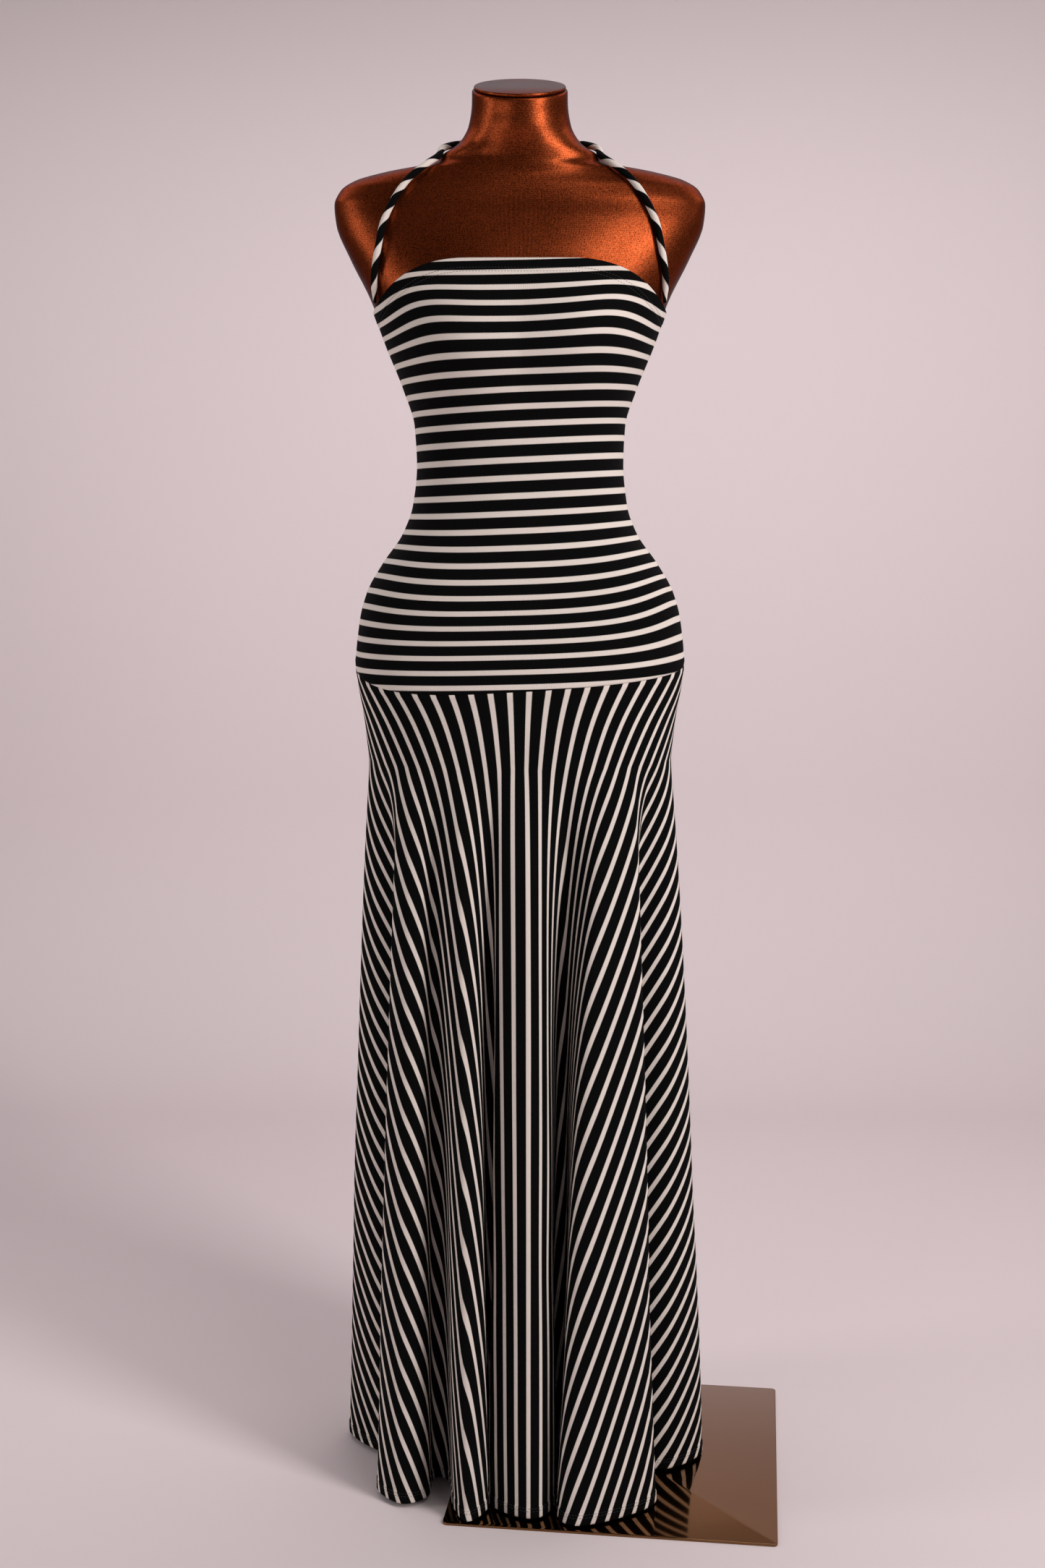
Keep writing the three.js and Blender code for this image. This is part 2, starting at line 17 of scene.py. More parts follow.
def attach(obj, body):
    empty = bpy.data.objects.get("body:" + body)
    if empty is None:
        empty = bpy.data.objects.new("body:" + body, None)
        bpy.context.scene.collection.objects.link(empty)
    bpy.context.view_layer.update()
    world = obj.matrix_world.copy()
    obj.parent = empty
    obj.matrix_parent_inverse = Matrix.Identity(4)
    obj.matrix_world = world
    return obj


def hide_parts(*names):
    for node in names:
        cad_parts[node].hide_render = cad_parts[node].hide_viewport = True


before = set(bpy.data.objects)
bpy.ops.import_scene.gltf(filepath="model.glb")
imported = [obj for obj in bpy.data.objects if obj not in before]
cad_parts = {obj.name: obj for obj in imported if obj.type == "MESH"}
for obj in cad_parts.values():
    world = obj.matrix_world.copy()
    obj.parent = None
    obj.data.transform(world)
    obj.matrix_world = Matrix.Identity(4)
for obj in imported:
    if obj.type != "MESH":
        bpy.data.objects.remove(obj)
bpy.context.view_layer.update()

LOG = logging.getLogger("halter_dress")
BODY = "root"
CUT_MAP = "cut"
MILLIMETRE = 0.001
STITCH_PROUD = 0.0001
QUARTER_TURN = math.pi / 2
FULL_TURN = 2 * math.pi

Place = Callable[[int, int], Vector]
Cut = Callable[[int, int], tuple[float, float]]


def lerp(start: float, end: float, share: float) -> float:
    """A value on the way from start to end."""
    return start + (end - start) * share


def smoothstep(value: float, low: float, high: float) -> float:
    """0 below low, 1 above high, and a smooth rise between."""
    share = min(max((value - low) / (high - low), 0.0), 1.0)
    return share * share * (3 - 2 * share)


def bell(distance: float, spread: float) -> float:
    """A smooth bump, 1 at no distance and near 0 beyond three spreads."""
    return math.exp(-0.5 * (distance / spread) ** 2)


def stretch(start: float, end: float, count: int) -> list[float]:
    """Evenly spaced values from start up to end, without end itself."""
    return [lerp(start, end, i / count) for i in range(count)]


def distances(points: list[Vector]) -> list[float]:
    """How far along a line each of its points lies."""
    lengths = [0.0]
    for start, end in zip(points, points[1:]):
        lengths.append(lengths[-1] + (end - start).length)
    return lengths


class Smooth:
    """A smooth curve through the rows of a table, which never swings past its rows."""

    def __init__(self, places: list[float], values: list[float]) -> None:
        """Keeps the rows and works out the slope at each.

        Args:
            places: the rows' places, rising.
            values: the value at each place.
        """
        self.places = places
        self.values = values
        steps = [
            (values[i + 1] - values[i]) / (places[i + 1] - places[i])
            for i in range(len(places) - 1)
        ]
        self.slopes = [steps[0]]
        for before, after in zip(steps, steps[1:]):
            flat = before * after <= 0
            self.slopes.append(0.0 if flat else 2 * before * after / (before + after))
        self.slopes.append(steps[-1])

    def at(self, place: float) -> float:
        """The value at a place.

        Args:
            place: where to read the curve; it is held between the first and last rows.

        Returns:
            The curve's value there.
        """
        place = min(max(place, self.places[0]), self.places[-1])
        i = min(max(bisect_left(self.places, place) - 1, 0), len(self.places) - 2)
        step = self.places[i + 1] - self.places[i]
        t = (place - self.places[i]) / step
        start = (2 * t - 3) * t * t + 1
        end = (3 - 2 * t) * t * t
        leave = ((t - 2) * t + 1) * t * step
        arrive = (t - 1) * t * t * step
        return (
            start * self.values[i] + leave * self.slopes[i]
            + end * self.values[i + 1] + arrive * self.slopes[i + 1]
        )


class RoundCurve:
    """A centripetal Catmull-Rom curve through points."""

    def __init__(self, points: list[Vector], closed: bool) -> None:
        """Keeps the points, with one more beyond each end of an open curve.

        Args:
            points: the points that the curve passes through, in order.
            closed: whether the last point is joined to the first.
        """
        self.closed = closed
        self.count = len(points) if closed else len(points) - 1
        if closed:
            self.points = [points[-1], *points, points[0], points[1]]
        else:
            before = points[0] * 2 - points[1]
            after = points[-1] * 2 - points[-2]
            self.points = [before, *points, after]

    def at(self, place: float) -> Vector:
        """A point of the curve.

        Args:
            place: 0 at the first point, and 1 at the last, or at the first again on a closed curve.

        Returns:
            The point.
        """
        place = place % 1 if self.closed else min(max(place, 0.0), 1.0)
        i = min(int(place * self.count), self.count - 1)
        t = place * self.count - i
        before, start, end, after = self.points[i:i + 4]
        gaps = [
            max(math.sqrt((b - a).length), 1e-6)
            for a, b in ((before, start), (start, end), (end, after))
        ]
        leave = (start - before) / gaps[0] - (end - before) / (gaps[0] + gaps[1]) + (end - start) / gaps[1]
        arrive = (end - start) / gaps[1] - (after - start) / (gaps[1] + gaps[2]) + (after - end) / gaps[2]
        leave = leave * gaps[1]
        arrive = arrive * gaps[1]
        square = (end - start) * 3 - leave * 2 - arrive
        cube = (start - end) * 2 + leave + arrive
        return start + leave * t + square * t * t + cube * t * t * t


class Socket:
    """The output of a shader node, or a number, which takes part in arithmetic."""

    def __init__(self, shader: "Shader", value: bpy.types.NodeSocket | float) -> None:
        """Wraps the socket or number for a shader."""
        self.shader = shader
        self.value = value

    def math(self, operation: str, *others: "Socket | float") -> "Socket":
        """Adds a Math node.

        Args:
            operation: the node's operation.
            others: the node's further inputs.

        Returns:
            The node's output.
        """
        inputs = {i: other for i, other in enumerate((self, *others))}
        return self.shader.node("ShaderNodeMath", {"operation": operation}, inputs)

    def __add__(self, other: "Socket | float") -> "Socket":
        """Self plus other."""
        return self.math("ADD", other)

    def __sub__(self, other: "Socket | float") -> "Socket":
        """Self minus other."""
        return self.math("SUBTRACT", other)

    def __rsub__(self, other: float) -> "Socket":
        """Other minus self."""
        return Socket(self.shader, other).math("SUBTRACT", self)

    def __mul__(self, other: "Socket | float") -> "Socket":
        """Self times other."""
        return self.math("MULTIPLY", other)

    def __truediv__(self, other: "Socket | float") -> "Socket":
        """Self divided by other."""
        return self.math("DIVIDE", other)

    def __abs__(self) -> "Socket":
        """The size of self without its sign."""
        return self.math("ABSOLUTE")

    def fraction(self) -> "Socket":
        """The part of self after the point."""
        return self.math("FRACT")

    def sine(self) -> "Socket":
        """The sine of self."""
        return self.math("SINE")

    def clamped(self) -> "Socket":
        """Self held between 0 and 1."""
        return self.math("MAXIMUM", 0.0).math("MINIMUM", 1.0)

    def wave(self, period: float, shift: float = 0.0) -> "Socket":
        """A wave from 0 to 1 with a period.

        Args:
            period: the length of one wave.
            shift: how far along it starts, as a share of the period.

        Returns:
            The wave's output.
        """
        return ((self / period + shift) * FULL_TURN).sine() * 0.5 + 0.5


class Shader:
    """The node tree of one material."""

    def __init__(self, name: str) -> None:
        """Makes an empty material with its surface shader.

        Args:
            name: the material's name.
        """
        self.material = bpy.data.materials.new(name)
        self.material.use_nodes = True
        self.tree = self.material.node_tree
        self.surface = self.tree.nodes["Principled BSDF"]

    def node(
        self, kind: str, settings: dict[str, object], inputs: dict[int | str, object], output: int | str = 0,
    ) -> Socket:
        """Adds any node.

        Args:
            kind: the node's type.
            settings: attributes of the node that are set first.
            inputs: values or links, by the input's place or name.
            output: the place or name of the output that is wanted.

        Returns:
            That output.
        """
        node = self.tree.nodes.new(kind)
        for key, value in settings.items():
            setattr(node, key, value)
        for key, value in inputs.items():
            self.feed(node.inputs[key], value)
        return Socket(self, node.outputs[output])

    def feed(self, target: bpy.types.NodeSocket, value: object) -> None:
        """Links a socket to a target, or sets the target's own value."""
        if isinstance(value, Socket):
            value = value.value
        if isinstance(value, bpy.types.NodeSocket):
            self.tree.links.new(value, target)
        else:
            target.default_value = value

    def set_surface(self, **values: object) -> None:
        """Feeds the surface shader, with each input's name written with underscores."""
        for key, value in values.items():
            self.feed(self.surface.inputs[key.replace("_", " ").title().replace("Ior", "IOR")], value)

    def object_place(self) -> Socket:
        """The place on the object, in metres."""
        return self.node("ShaderNodeTexCoord", {}, {}, "Object")

    def cut_place(self) -> tuple[Socket, Socket]:
        """The place in the flat cloth, along the stripes and across them."""
        place = self.node("ShaderNodeUVMap", {"uv_map": CUT_MAP}, {})
        along = self.node("ShaderNodeSeparateXYZ", {}, {0: place}, 0)
        across = Socket(self, along.value.node.outputs[1])
        return along, across

    def grain(self, scale: float, detail: float = 2.0) -> Socket:
        """Soft noise over the object.

        Args:
            scale: how many grains fit in a metre.
            detail: how many finer layers the noise has.

        Returns:
            Values from 0 to 1.
        """
        inputs = {"Vector": self.object_place(), "Scale": scale, "Detail": detail}
        return self.node("ShaderNodeTexNoise", {}, inputs, 0)

    def mix(self, share: Socket | float, first: object, second: object, blend: str = "MIX") -> Socket:
        """Mixes two colours.

        Args:
            share: the second colour's share.
            first: the first colour, as a value or a link.
            second: the second colour.
            blend: how they are mixed.

        Returns:
            The mixed colour.
        """
        settings = {"data_type": "RGBA", "blend_type": blend}
        return self.node("ShaderNodeMix", settings, {0: share, 6: first, 7: second}, 2)

    def grey(self, value: Socket) -> Socket:
        """Turns a value into a grey colour."""
        return self.node("ShaderNodeCombineColor", {}, {0: value, 1: value, 2: value})

    def bump(self, height: Socket, distance: float, strength: float) -> Socket:
        """A bumped surface direction.

        Args:
            height: the relief, from 0 to 1.
            distance: the depth of the relief in metres.
            strength: how much of it shows.

        Returns:
            The direction, for the shader's Normal.
        """
        inputs = {"Height": height, "Distance": distance, "Strength": strength}
        return self.node("ShaderNodeBump", {}, inputs)


Colour = tuple[float, float, float, float]


def colour(red: float, green: float, blue: float) -> Colour:
    """An opaque colour in linear values."""
    return (red, green, blue, 1.0)


@dataclass(frozen=True)
class StripedKnit:
    """Jersey knit with cream stripes on black, whose loops and stripes follow the flat cloth."""

    name: str
    period: float = 0.0145
    cream_share: float = 0.335
    edge: float = 0.0006
    jag: float = 0.00003
    wale: float = 0.0011
    course: float = 0.0009
    loop_lean: float = 1.3
    loop_depth: float = 0.0004
    mottles_per_metre: float = 9.0
    shade_and_mottle: float = 0.16
    deepest_shade: float = 0.76
    black: Colour = colour(0.0022, 0.0021, 0.0021)
    cream: Colour = colour(0.74, 0.665, 0.61)

    def build(self) -> bpy.types.Material:
        """Makes the material.

        Returns:
            The material, which reads the map named cut.
        """
        shader = Shader(self.name)
        along, across = shader.cut_place()
        side = abs((along / self.wale).fraction() - 0.5)
        lean = (across / self.course + side * self.loop_lean).fraction() - 0.5
        loop = along.wave(self.wale, 0.25) * (1 - abs(lean))
        off_stripe = abs((across / self.period + 0.5).fraction() - 0.5) * self.period
        edge_at = along.wave(self.wale) * self.jag + (self.cream_share * self.period - self.jag) / 2
        stripe = ((edge_at - off_stripe) / self.edge + 0.5).clamped()
        # Painted shade: the colour darkens in the hollows between the knit's loops, and a random mottle
        # varies its tone as well
        shade = loop * self.shade_and_mottle + shader.grain(self.mottles_per_metre) * self.shade_and_mottle + self.deepest_shade
        dyed = shader.mix(stripe, self.black, self.cream)
        shader.set_surface(
            base_color=shader.mix(1.0, dyed, shader.grey(shade), "MULTIPLY"),
            roughness=0.92 - stripe * 0.08,
            specular_ior_level=0.06,
            normal=shader.bump(loop, self.loop_depth, 0.35),
        )
        return shader.material


@dataclass(frozen=True)
class Satin:
    """Copper-brown satin, drawn smoothly over the form, with its fine weave."""

    name: str
    thread: float = 0.0021
    speckles_per_metre: float = 800.0
    patches_per_metre: float = 14.0
    darkening: float = 0.78
    dullness: float = 0.275
    weave_depth: float = 0.0003
    dark: Colour = colour(0.045, 0.006, 0.0015)
    light: Colour = colour(0.38, 0.072, 0.019)
    edge: Colour = colour(0.22, 0.36, 0.40)

    def build(self) -> bpy.types.Material:
        """Makes the material.

        Returns:
            The material, which reads the map named cut.
        """
        shader = Shader(self.name)
        along, across = shader.cut_place()
        weave = along.wave(self.thread) * 0.5 + across.wave(self.thread) * 0.5
        speckle = shader.grain(self.speckles_per_metre, 3.0)
        broad = shader.grain(self.patches_per_metre)
        share = (speckle * 1.9 + weave * 0.25 + broad * 0.3 - self.darkening).clamped()
        shader.set_surface(
            base_color=shader.mix(share, self.dark, self.light),
            metallic=0.9,
            roughness=broad * 0.05 + speckle * 0.08 + self.dullness,
            specular_ior_level=0.3,
            specular_tint=self.edge,
            normal=shader.bump(speckle * 0.8 + weave * 0.2, self.weave_depth, 0.3),
        )
        return shader.material


@dataclass(frozen=True)
class BronzeMirror:
    """Bronze mirror plating with faint wipe marks."""

    name: str
    tint: Colour = colour(0.20, 0.105, 0.047)
    wiped_tint: Colour = colour(0.25, 0.14, 0.07)
    wipes_per_metre: float = 7.0
    specks_per_metre: float = 160.0
    dullness: float = 0.035

    def build(self) -> bpy.types.Material:
        """Makes the material.

        Returns:
            The material.
        """
        shader = Shader(self.name)
        wiped = shader.grain(self.wipes_per_metre, 4.0)
        fine = shader.grain(self.specks_per_metre, 2.0)
        shader.set_surface(
            base_color=shader.mix(wiped * 0.3, self.tint, self.wiped_tint),
            metallic=1.0,
            roughness=wiped * 0.05 + fine * 0.02 + self.dullness,
            normal=shader.bump(wiped, 0.0004, 0.1),
        )
        return shader.material


@dataclass(frozen=True)
class BrushedSteel:
    """Brushed steel, with its lines round the pole."""

    name: str
    tint: Colour = colour(0.5, 0.49, 0.48)
    line_tint: Colour = colour(0.36, 0.35, 0.34)
    line_spacing: float = 0.0007
    specks_per_metre: float = 300.0

    def build(self) -> bpy.types.Material:
        """Makes the material.

        Returns:
            The material.
        """
        shader = Shader(self.name)
        place = shader.object_place()
        height = shader.node("ShaderNodeSeparateXYZ", {}, {0: place}, 2)
        lines = height.wave(self.line_spacing) * 0.5 + shader.grain(self.specks_per_metre) * 0.5
        shader.set_surface(
            base_color=shader.mix(lines * 0.3, self.tint, self.line_tint),
            metallic=1.0,
            roughness=lines * 0.12 + 0.24,
            normal=shader.bump(lines, 0.0002, 0.2),
        )
        return shader.material


@dataclass(frozen=True)
class Thread:
    """Twisted sewing thread."""

    name: str
    tint: Colour = colour(0.012, 0.012, 0.013)
    light_tint: Colour = colour(0.05, 0.05, 0.052)
    twists_per_metre: float = 2200.0

    def build(self) -> bpy.types.Material:
        """Makes the material.

        Returns:
            The material.
        """
        shader = Shader(self.name)
        twist = shader.grain(self.twists_per_metre, 1.0)
        shader.set_surface(
            base_color=shader.mix(twist * 0.6, self.tint, self.light_tint),
            roughness=0.75,
            normal=shader.bump(twist, 0.0001, 0.3),
        )
        return shader.material


@dataclass(frozen=True)
class Paper:
    """The matt pale paper of the backdrop and the floor."""

    name: str
    tint: Colour
    mottles_per_metre: float = 1.1
    mottling: float = 0.05

    def build(self) -> bpy.types.Material:
        """Makes the material.

        Returns:
            The material.
        """
        shader = Shader(self.name)
        mottle = shader.grain(self.mottles_per_metre, 2.0)
        shade = shader.grey(mottle * self.mottling + (1 - self.mottling))
        shader.set_surface(
            base_color=shader.mix(1.0, self.tint, shade, "MULTIPLY"),
            roughness=0.75,
            specular_ior_level=0.2,
        )
        return shader.material


def smooth_object(name: str, shape: bmesh.types.BMesh, material: bpy.types.Material) -> bpy.types.Object:
    """Turns a bmesh into a smooth-shaded object in the scene.

    Args:
        name: the piece's name.
        shape: the finished bmesh, which is freed.
        material: the piece's material.

    Returns:
        The object.
    """
    mesh = bpy.data.meshes.new(name)
    shape.to_mesh(mesh)
    shape.free()
    mesh.shade_smooth()
    mesh.materials.append(material)
    piece = bpy.data.objects.new(name, mesh)
    bpy.context.scene.collection.objects.link(piece)
    return piece


def bent_grid(columns: int, rows: int, place: Place, cut: Cut, closed: bool = False) -> bmesh.types.BMesh:
    """Bends a flat grid into a surface and lays the flat cloth's map on it.

    Args:
        columns: how many cells the grid has across.
        rows: how many cells it has upwards.
        place: gives the point at a column and a row.
        cut: gives the place in the flat cloth there.
        closed: whether the last column meets the first.

    Returns:
        The bmesh, whose faces look outwards where the columns run anticlockwise.
    """
    shape = bmesh.new()
    bmesh.ops.create_grid(shape, x_segments=columns, y_segments=rows, size=1.0)
    flat = shape.loops.layers.uv.new(CUT_MAP)
    cells = {
        vert: (round((vert.co.x + 1) / 2 * columns), round((vert.co.y + 1) / 2 * rows))
        for vert in shape.verts
    }
    for face in shape.faces:
        for loop in face.loops:
            loop[flat].uv = cut(*cells[loop.vert])
    for vert, cell in cells.items():
        vert.co = place(*cell)
    if closed:
        bmesh.ops.remove_doubles(shape, verts=shape.verts, dist=1e-6)
    return shape


def skin(rings: list[list[Vector]], cut: Cut) -> bmesh.types.BMesh:
    """Joins rings of equal count into a surface and fills its two open ends.

    Args:
        rings: the rings in order, each with its first point again at its end.
        cut: gives the place in the flat cloth at a column and a ring.

    Returns:
        The closed bmesh.
    """
    columns = len(rings[0]) - 1
    shape = bent_grid(columns, len(rings) - 1, lambda column, row: rings[row][column], cut, closed=True)
    open_edges = [edge for edge in shape.edges if edge.is_boundary]
    bmesh.ops.holes_fill(shape, edges=open_edges, sides=0)
    return shape


def give_wall(piece: bpy.types.Object, thickness: float, offset: float = 1.0) -> None:
    """Gives a sheet a wall, on its outer side at an offset of 1 and on its inner side at -1."""
    wall = piece.modifiers.new("wall", "SOLIDIFY")
    wall.thickness = thickness
    wall.offset = offset


def on_frame(piece: bpy.types.Object, slot: str) -> bpy.types.Object:
    """Makes a piece ride with the frame."""
    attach(piece, BODY)
    return piece


class Slot(Enum):
    """Names of the material slots."""

    KNIT = "striped_knit"
    SATIN = "satin_cover"
    STEEL = "pole_steel"
    BRONZE = "plate_bronze"


class Side(Enum):
    """The two panels of the bodice and of the skirt, with the turn of each one's middle."""

    FRONT = 0.0
    BACK = math.pi


@dataclass(frozen=True)
class Level:
    """One level section of the form: depths are from the line at lean, and square is 2 for an ellipse."""

    height: float
    half_width: float
    front: float
    back: float
    lean: float
    square: float


FORM_LEVELS = (
    Level(0.800, 0.1610, 0.108, 0.112, 0.000, 2.2),
    Level(0.850, 0.1660, 0.111, 0.119, 0.000, 2.2),
    Level(0.907, 0.1740, 0.113, 0.127, 0.000, 2.2),
    Level(0.955, 0.1695, 0.110, 0.122, 0.000, 2.2),
    Level(0.985, 0.1614, 0.107, 0.113, 0.000, 2.15),
    Level(1.015, 0.1444, 0.102, 0.102, 0.000, 2.1),
    Level(1.046, 0.1228, 0.096, 0.091, 0.000, 2.1),
    Level(1.077, 0.1115, 0.091, 0.084, 0.000, 2.1),
    Level(1.120, 0.1070, 0.089, 0.082, 0.000, 2.1),
    Level(1.160, 0.1088, 0.092, 0.088, 0.000, 2.1),
    Level(1.197, 0.1200, 0.101, 0.095, 0.000, 2.15),
    Level(1.242, 0.1380, 0.112, 0.103, 0.000, 2.2),
    Level(1.290, 0.1560, 0.108, 0.106, 0.000, 2.3),
    Level(1.331, 0.1766, 0.093, 0.102, 0.002, 2.4),
    Level(1.366, 0.1910, 0.076, 0.090, 0.004, 2.5),
    Level(1.386, 0.1930, 0.066, 0.080, 0.006, 2.5),
    Level(1.401, 0.1865, 0.060, 0.070, 0.007, 2.3),
    Level(1.411, 0.1720, 0.056, 0.063, 0.007, 2.0),
    Level(1.419, 0.1430, 0.054, 0.058, 0.006, 1.8),
    Level(1.427, 0.0980, 0.052, 0.053, 0.004, 1.8),
    Level(1.437, 0.0800, 0.051, 0.050, 0.001, 1.9),
    Level(1.448, 0.0625, 0.050, 0.048, -0.003, 2.0),
    Level(1.465, 0.0525, 0.050, 0.046, -0.008, 2.0),
    Level(1.485, 0.0493, 0.049, 0.046, -0.012, 2.0),
    Level(1.499, 0.0490, 0.049, 0.046, -0.015, 2.0),
)


@dataclass
class FormShape:
    """The shape of the dress form, which the cloth lies over. turn is the angle from the centre front."""

    levels: tuple[Level, ...] = FORM_LEVELS
    bust_apart: float = 0.072
    bust_height: float = 1.243
    bust_reach: float = 0.015
    bust_spread: float = 0.036
    neck_tilt_from: float = 1.427
    neck_tilt: float = math.tan(math.radians(20))
    curves: dict[str, Smooth] = field(init=False)

    def __post_init__(self) -> None:
        """Draws a smooth curve through each column of the sections."""
        heights = [level.height for level in self.levels]
        self.curves = {
            column: Smooth(heights, [getattr(level, column) for level in self.levels])
            for column in ("half_width", "front", "back", "lean", "square")
        }

    @property
    def bottom(self) -> float:
        """The height of the form's lower edge."""
        return self.levels[0].height

    @property
    def top(self) -> float:
        """The height of the neck's cut."""
        return self.levels[-1].height

    def point(self, turn: float, height: float) -> Vector:
        """A point on the form.

        Args:
            turn: the angle round the form from the centre front, to its right as one faces it.
            height: the height of the section.

        Returns:
            The point.
        """
        power = 2 / self.curves["square"].at(height)
        ahead = math.cos(turn)
        aside = math.sin(turn)
        lean = self.curves["lean"].at(height)
        depth = self.curves["front" if ahead > 0 else "back"].at(height)
        x = self.curves["half_width"].at(height) * math.copysign(abs(aside) ** power, aside)
        rise = 0.0
        if ahead > 0:
            up = bell(height - self.bust_height, self.bust_spread)
            rise = self.bust_reach * up * bell(abs(x) - self.bust_apart, self.bust_spread) * ahead
        y = lean - depth * math.copysign(abs(ahead) ** power, ahead) - rise
        tilt = self.neck_tilt * smoothstep(height, self.neck_tilt_from, self.top)
        return Vector((x, y, height + tilt * (y - lean)))

    def normal(self, turn: float, height: float) -> Vector:
        """The direction straight out of the form at such a point."""
        small = 0.01
        low = max(height - MILLIMETRE, self.bottom)
        high = min(height + MILLIMETRE, self.top)
        along = self.point(turn + small, height) - self.point(turn - small, height)
        upward = self.point(turn, high) - self.point(turn, low)
        return along.cross(upward).normalized()

    def off(self, turn: float, height: float, distance: float) -> Vector:
        """A point that lies off the form by a distance."""
        return self.point(turn, height) + self.normal(turn, height) * distance


@dataclass
class DressForm:
    """The limbless form in its satin cover: one smooth body and the covered lid of the neck."""

    shape: FormShape
    satin: bpy.types.Material
    columns: int = 144
    edge_round: float = 0.010
    shoulders_from: float = 1.36
    neck_from: float = 1.45
    cover_radius: float = 0.15
    socket_radius: float = 0.0143
    socket_depth: float = 0.060
    rim_round: float = 0.0025
    cap_gap: float = 0.0003
    cap_thickness: float = 0.003
    cap_inset: float = 0.96
    cap_round: float = 0.0012
    cap_radius: float = 0.05

    def turns(self) -> list[float]:
        """The angles of the form's columns, from the left side round the front."""
        return [-QUARTER_TURN + FULL_TURN * i / self.columns for i in range(self.columns + 1)]

    def ring(self, height: float, inset: float = 0.0) -> list[Vector]:
        """A level ring of the form, drawn in towards the axis by inset."""
        points = []
        for turn in self.turns():
            point = self.shape.point(turn, height)
            inward = Vector((point.x, point.y - self.shape.curves["lean"].at(height), 0)).normalized()
            points.append(point - inward * inset)
        return points

    def underside(self) -> list[list[Vector]]:
        """The rings of the pole's socket, the flat underside and the rounded lower edge, in that order."""
        bottom = self.shape.bottom
        socket = [
            Vector((math.sin(turn), -math.cos(turn), 0)) * self.socket_radius for turn in self.turns()
        ]
        rings = [
            [point + Vector((0, 0, bottom + self.socket_depth * share)) for point in socket]
            for share in (1, 0.5, 0)
        ]
        edge = self.ring(bottom + self.edge_round, self.edge_round)
        for share in (0.3, 0.65):
            rings.append([rings[2][i].lerp(Vector((p.x, p.y, bottom)), share) for i, p in enumerate(edge)])
        for angle in (0, 22.5, 45, 67.5):
            inset = self.edge_round * (1 - math.sin(math.radians(angle)))
            height = bottom + self.edge_round * (1 - math.cos(math.radians(angle)))
            at_edge = self.ring(bottom + self.edge_round, inset)
            rings.append([Vector((p.x, p.y, height)) for p in at_edge])
        return rings

    def rings(self) -> list[list[Vector]]:
        """All rings of the form, from the top of its socket round to the neck's rim."""
        shape = self.shape
        heights = stretch(shape.bottom + self.edge_round, self.shoulders_from, 84)
        heights += stretch(self.shoulders_from, self.neck_from, 50)
        heights += stretch(self.neck_from, shape.top - self.rim_round, 14)
        rings = self.underside() + [self.ring(height) for height in heights]
        for angle in (0, 30, 60, 90):
            inset = self.rim_round * (1 - math.cos(math.radians(angle)))
            drop = self.rim_round * (1 - math.sin(math.radians(angle)))
            rings.append(self.ring(shape.top - drop, inset))
        return rings

    def build_torso(self) -> bpy.types.Object:
        """Makes the covered body of the form.

        Returns:
            The object.
        """
        rings = self.rings()
        around = [self.cover_radius * turn for turn in self.turns()]
        shape = skin(rings, lambda column, row: (around[column], rings[row][column].z))
        torso = smooth_object("torso_cover", shape, self.satin)
        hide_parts("form_torso")
        return on_frame(torso, Slot.SATIN.value)

    def build_cap(self) -> bpy.types.Object:
        """Makes the covered lid on the sloping cut of the neck.

        Returns:
            The object.
        """
        shape = self.shape
        middle = (shape.point(0, shape.top) + shape.point(math.pi, shape.top)) / 2
        rise = Vector((0, -shape.neck_tilt, 1)).normalized()
        thick = self.cap_thickness
        profile = [(self.cap_inset, 0.0), (self.cap_inset, thick - self.cap_round)]
        for angle in (30, 60, 90):
            inset = self.cap_round * (1 - math.cos(math.radians(angle))) / self.cap_radius
            lift = thick - self.cap_round * (1 - math.sin(math.radians(angle)))
            profile.append((self.cap_inset - inset, lift))
        spokes = [shape.point(turn, shape.top) - middle for turn in self.turns()]
        rings = []
        for scale, lift in profile:
            at_height = middle + rise * (self.cap_gap + lift)
            rings.append([spoke * scale + at_height for spoke in spokes])
        lid = skin(rings, lambda column, row: (rings[row][column].x, rings[row][column].y))
        cap = smooth_object("neck_cap_cover", lid, self.satin)
        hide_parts("form_neck_cap")
        return on_frame(cap, Slot.SATIN.value)

    def build(self) -> list[bpy.types.Object]:
        """Makes the body and the lid."""
        return [self.build_torso(), self.build_cap()]


@dataclass(frozen=True)
class Pull:
    """A place where the bodice's stripes are drawn up or down: angles in degrees, lengths in metres."""

    turn: float
    turn_spread: float
    height: float
    height_spread: float
    lift: float


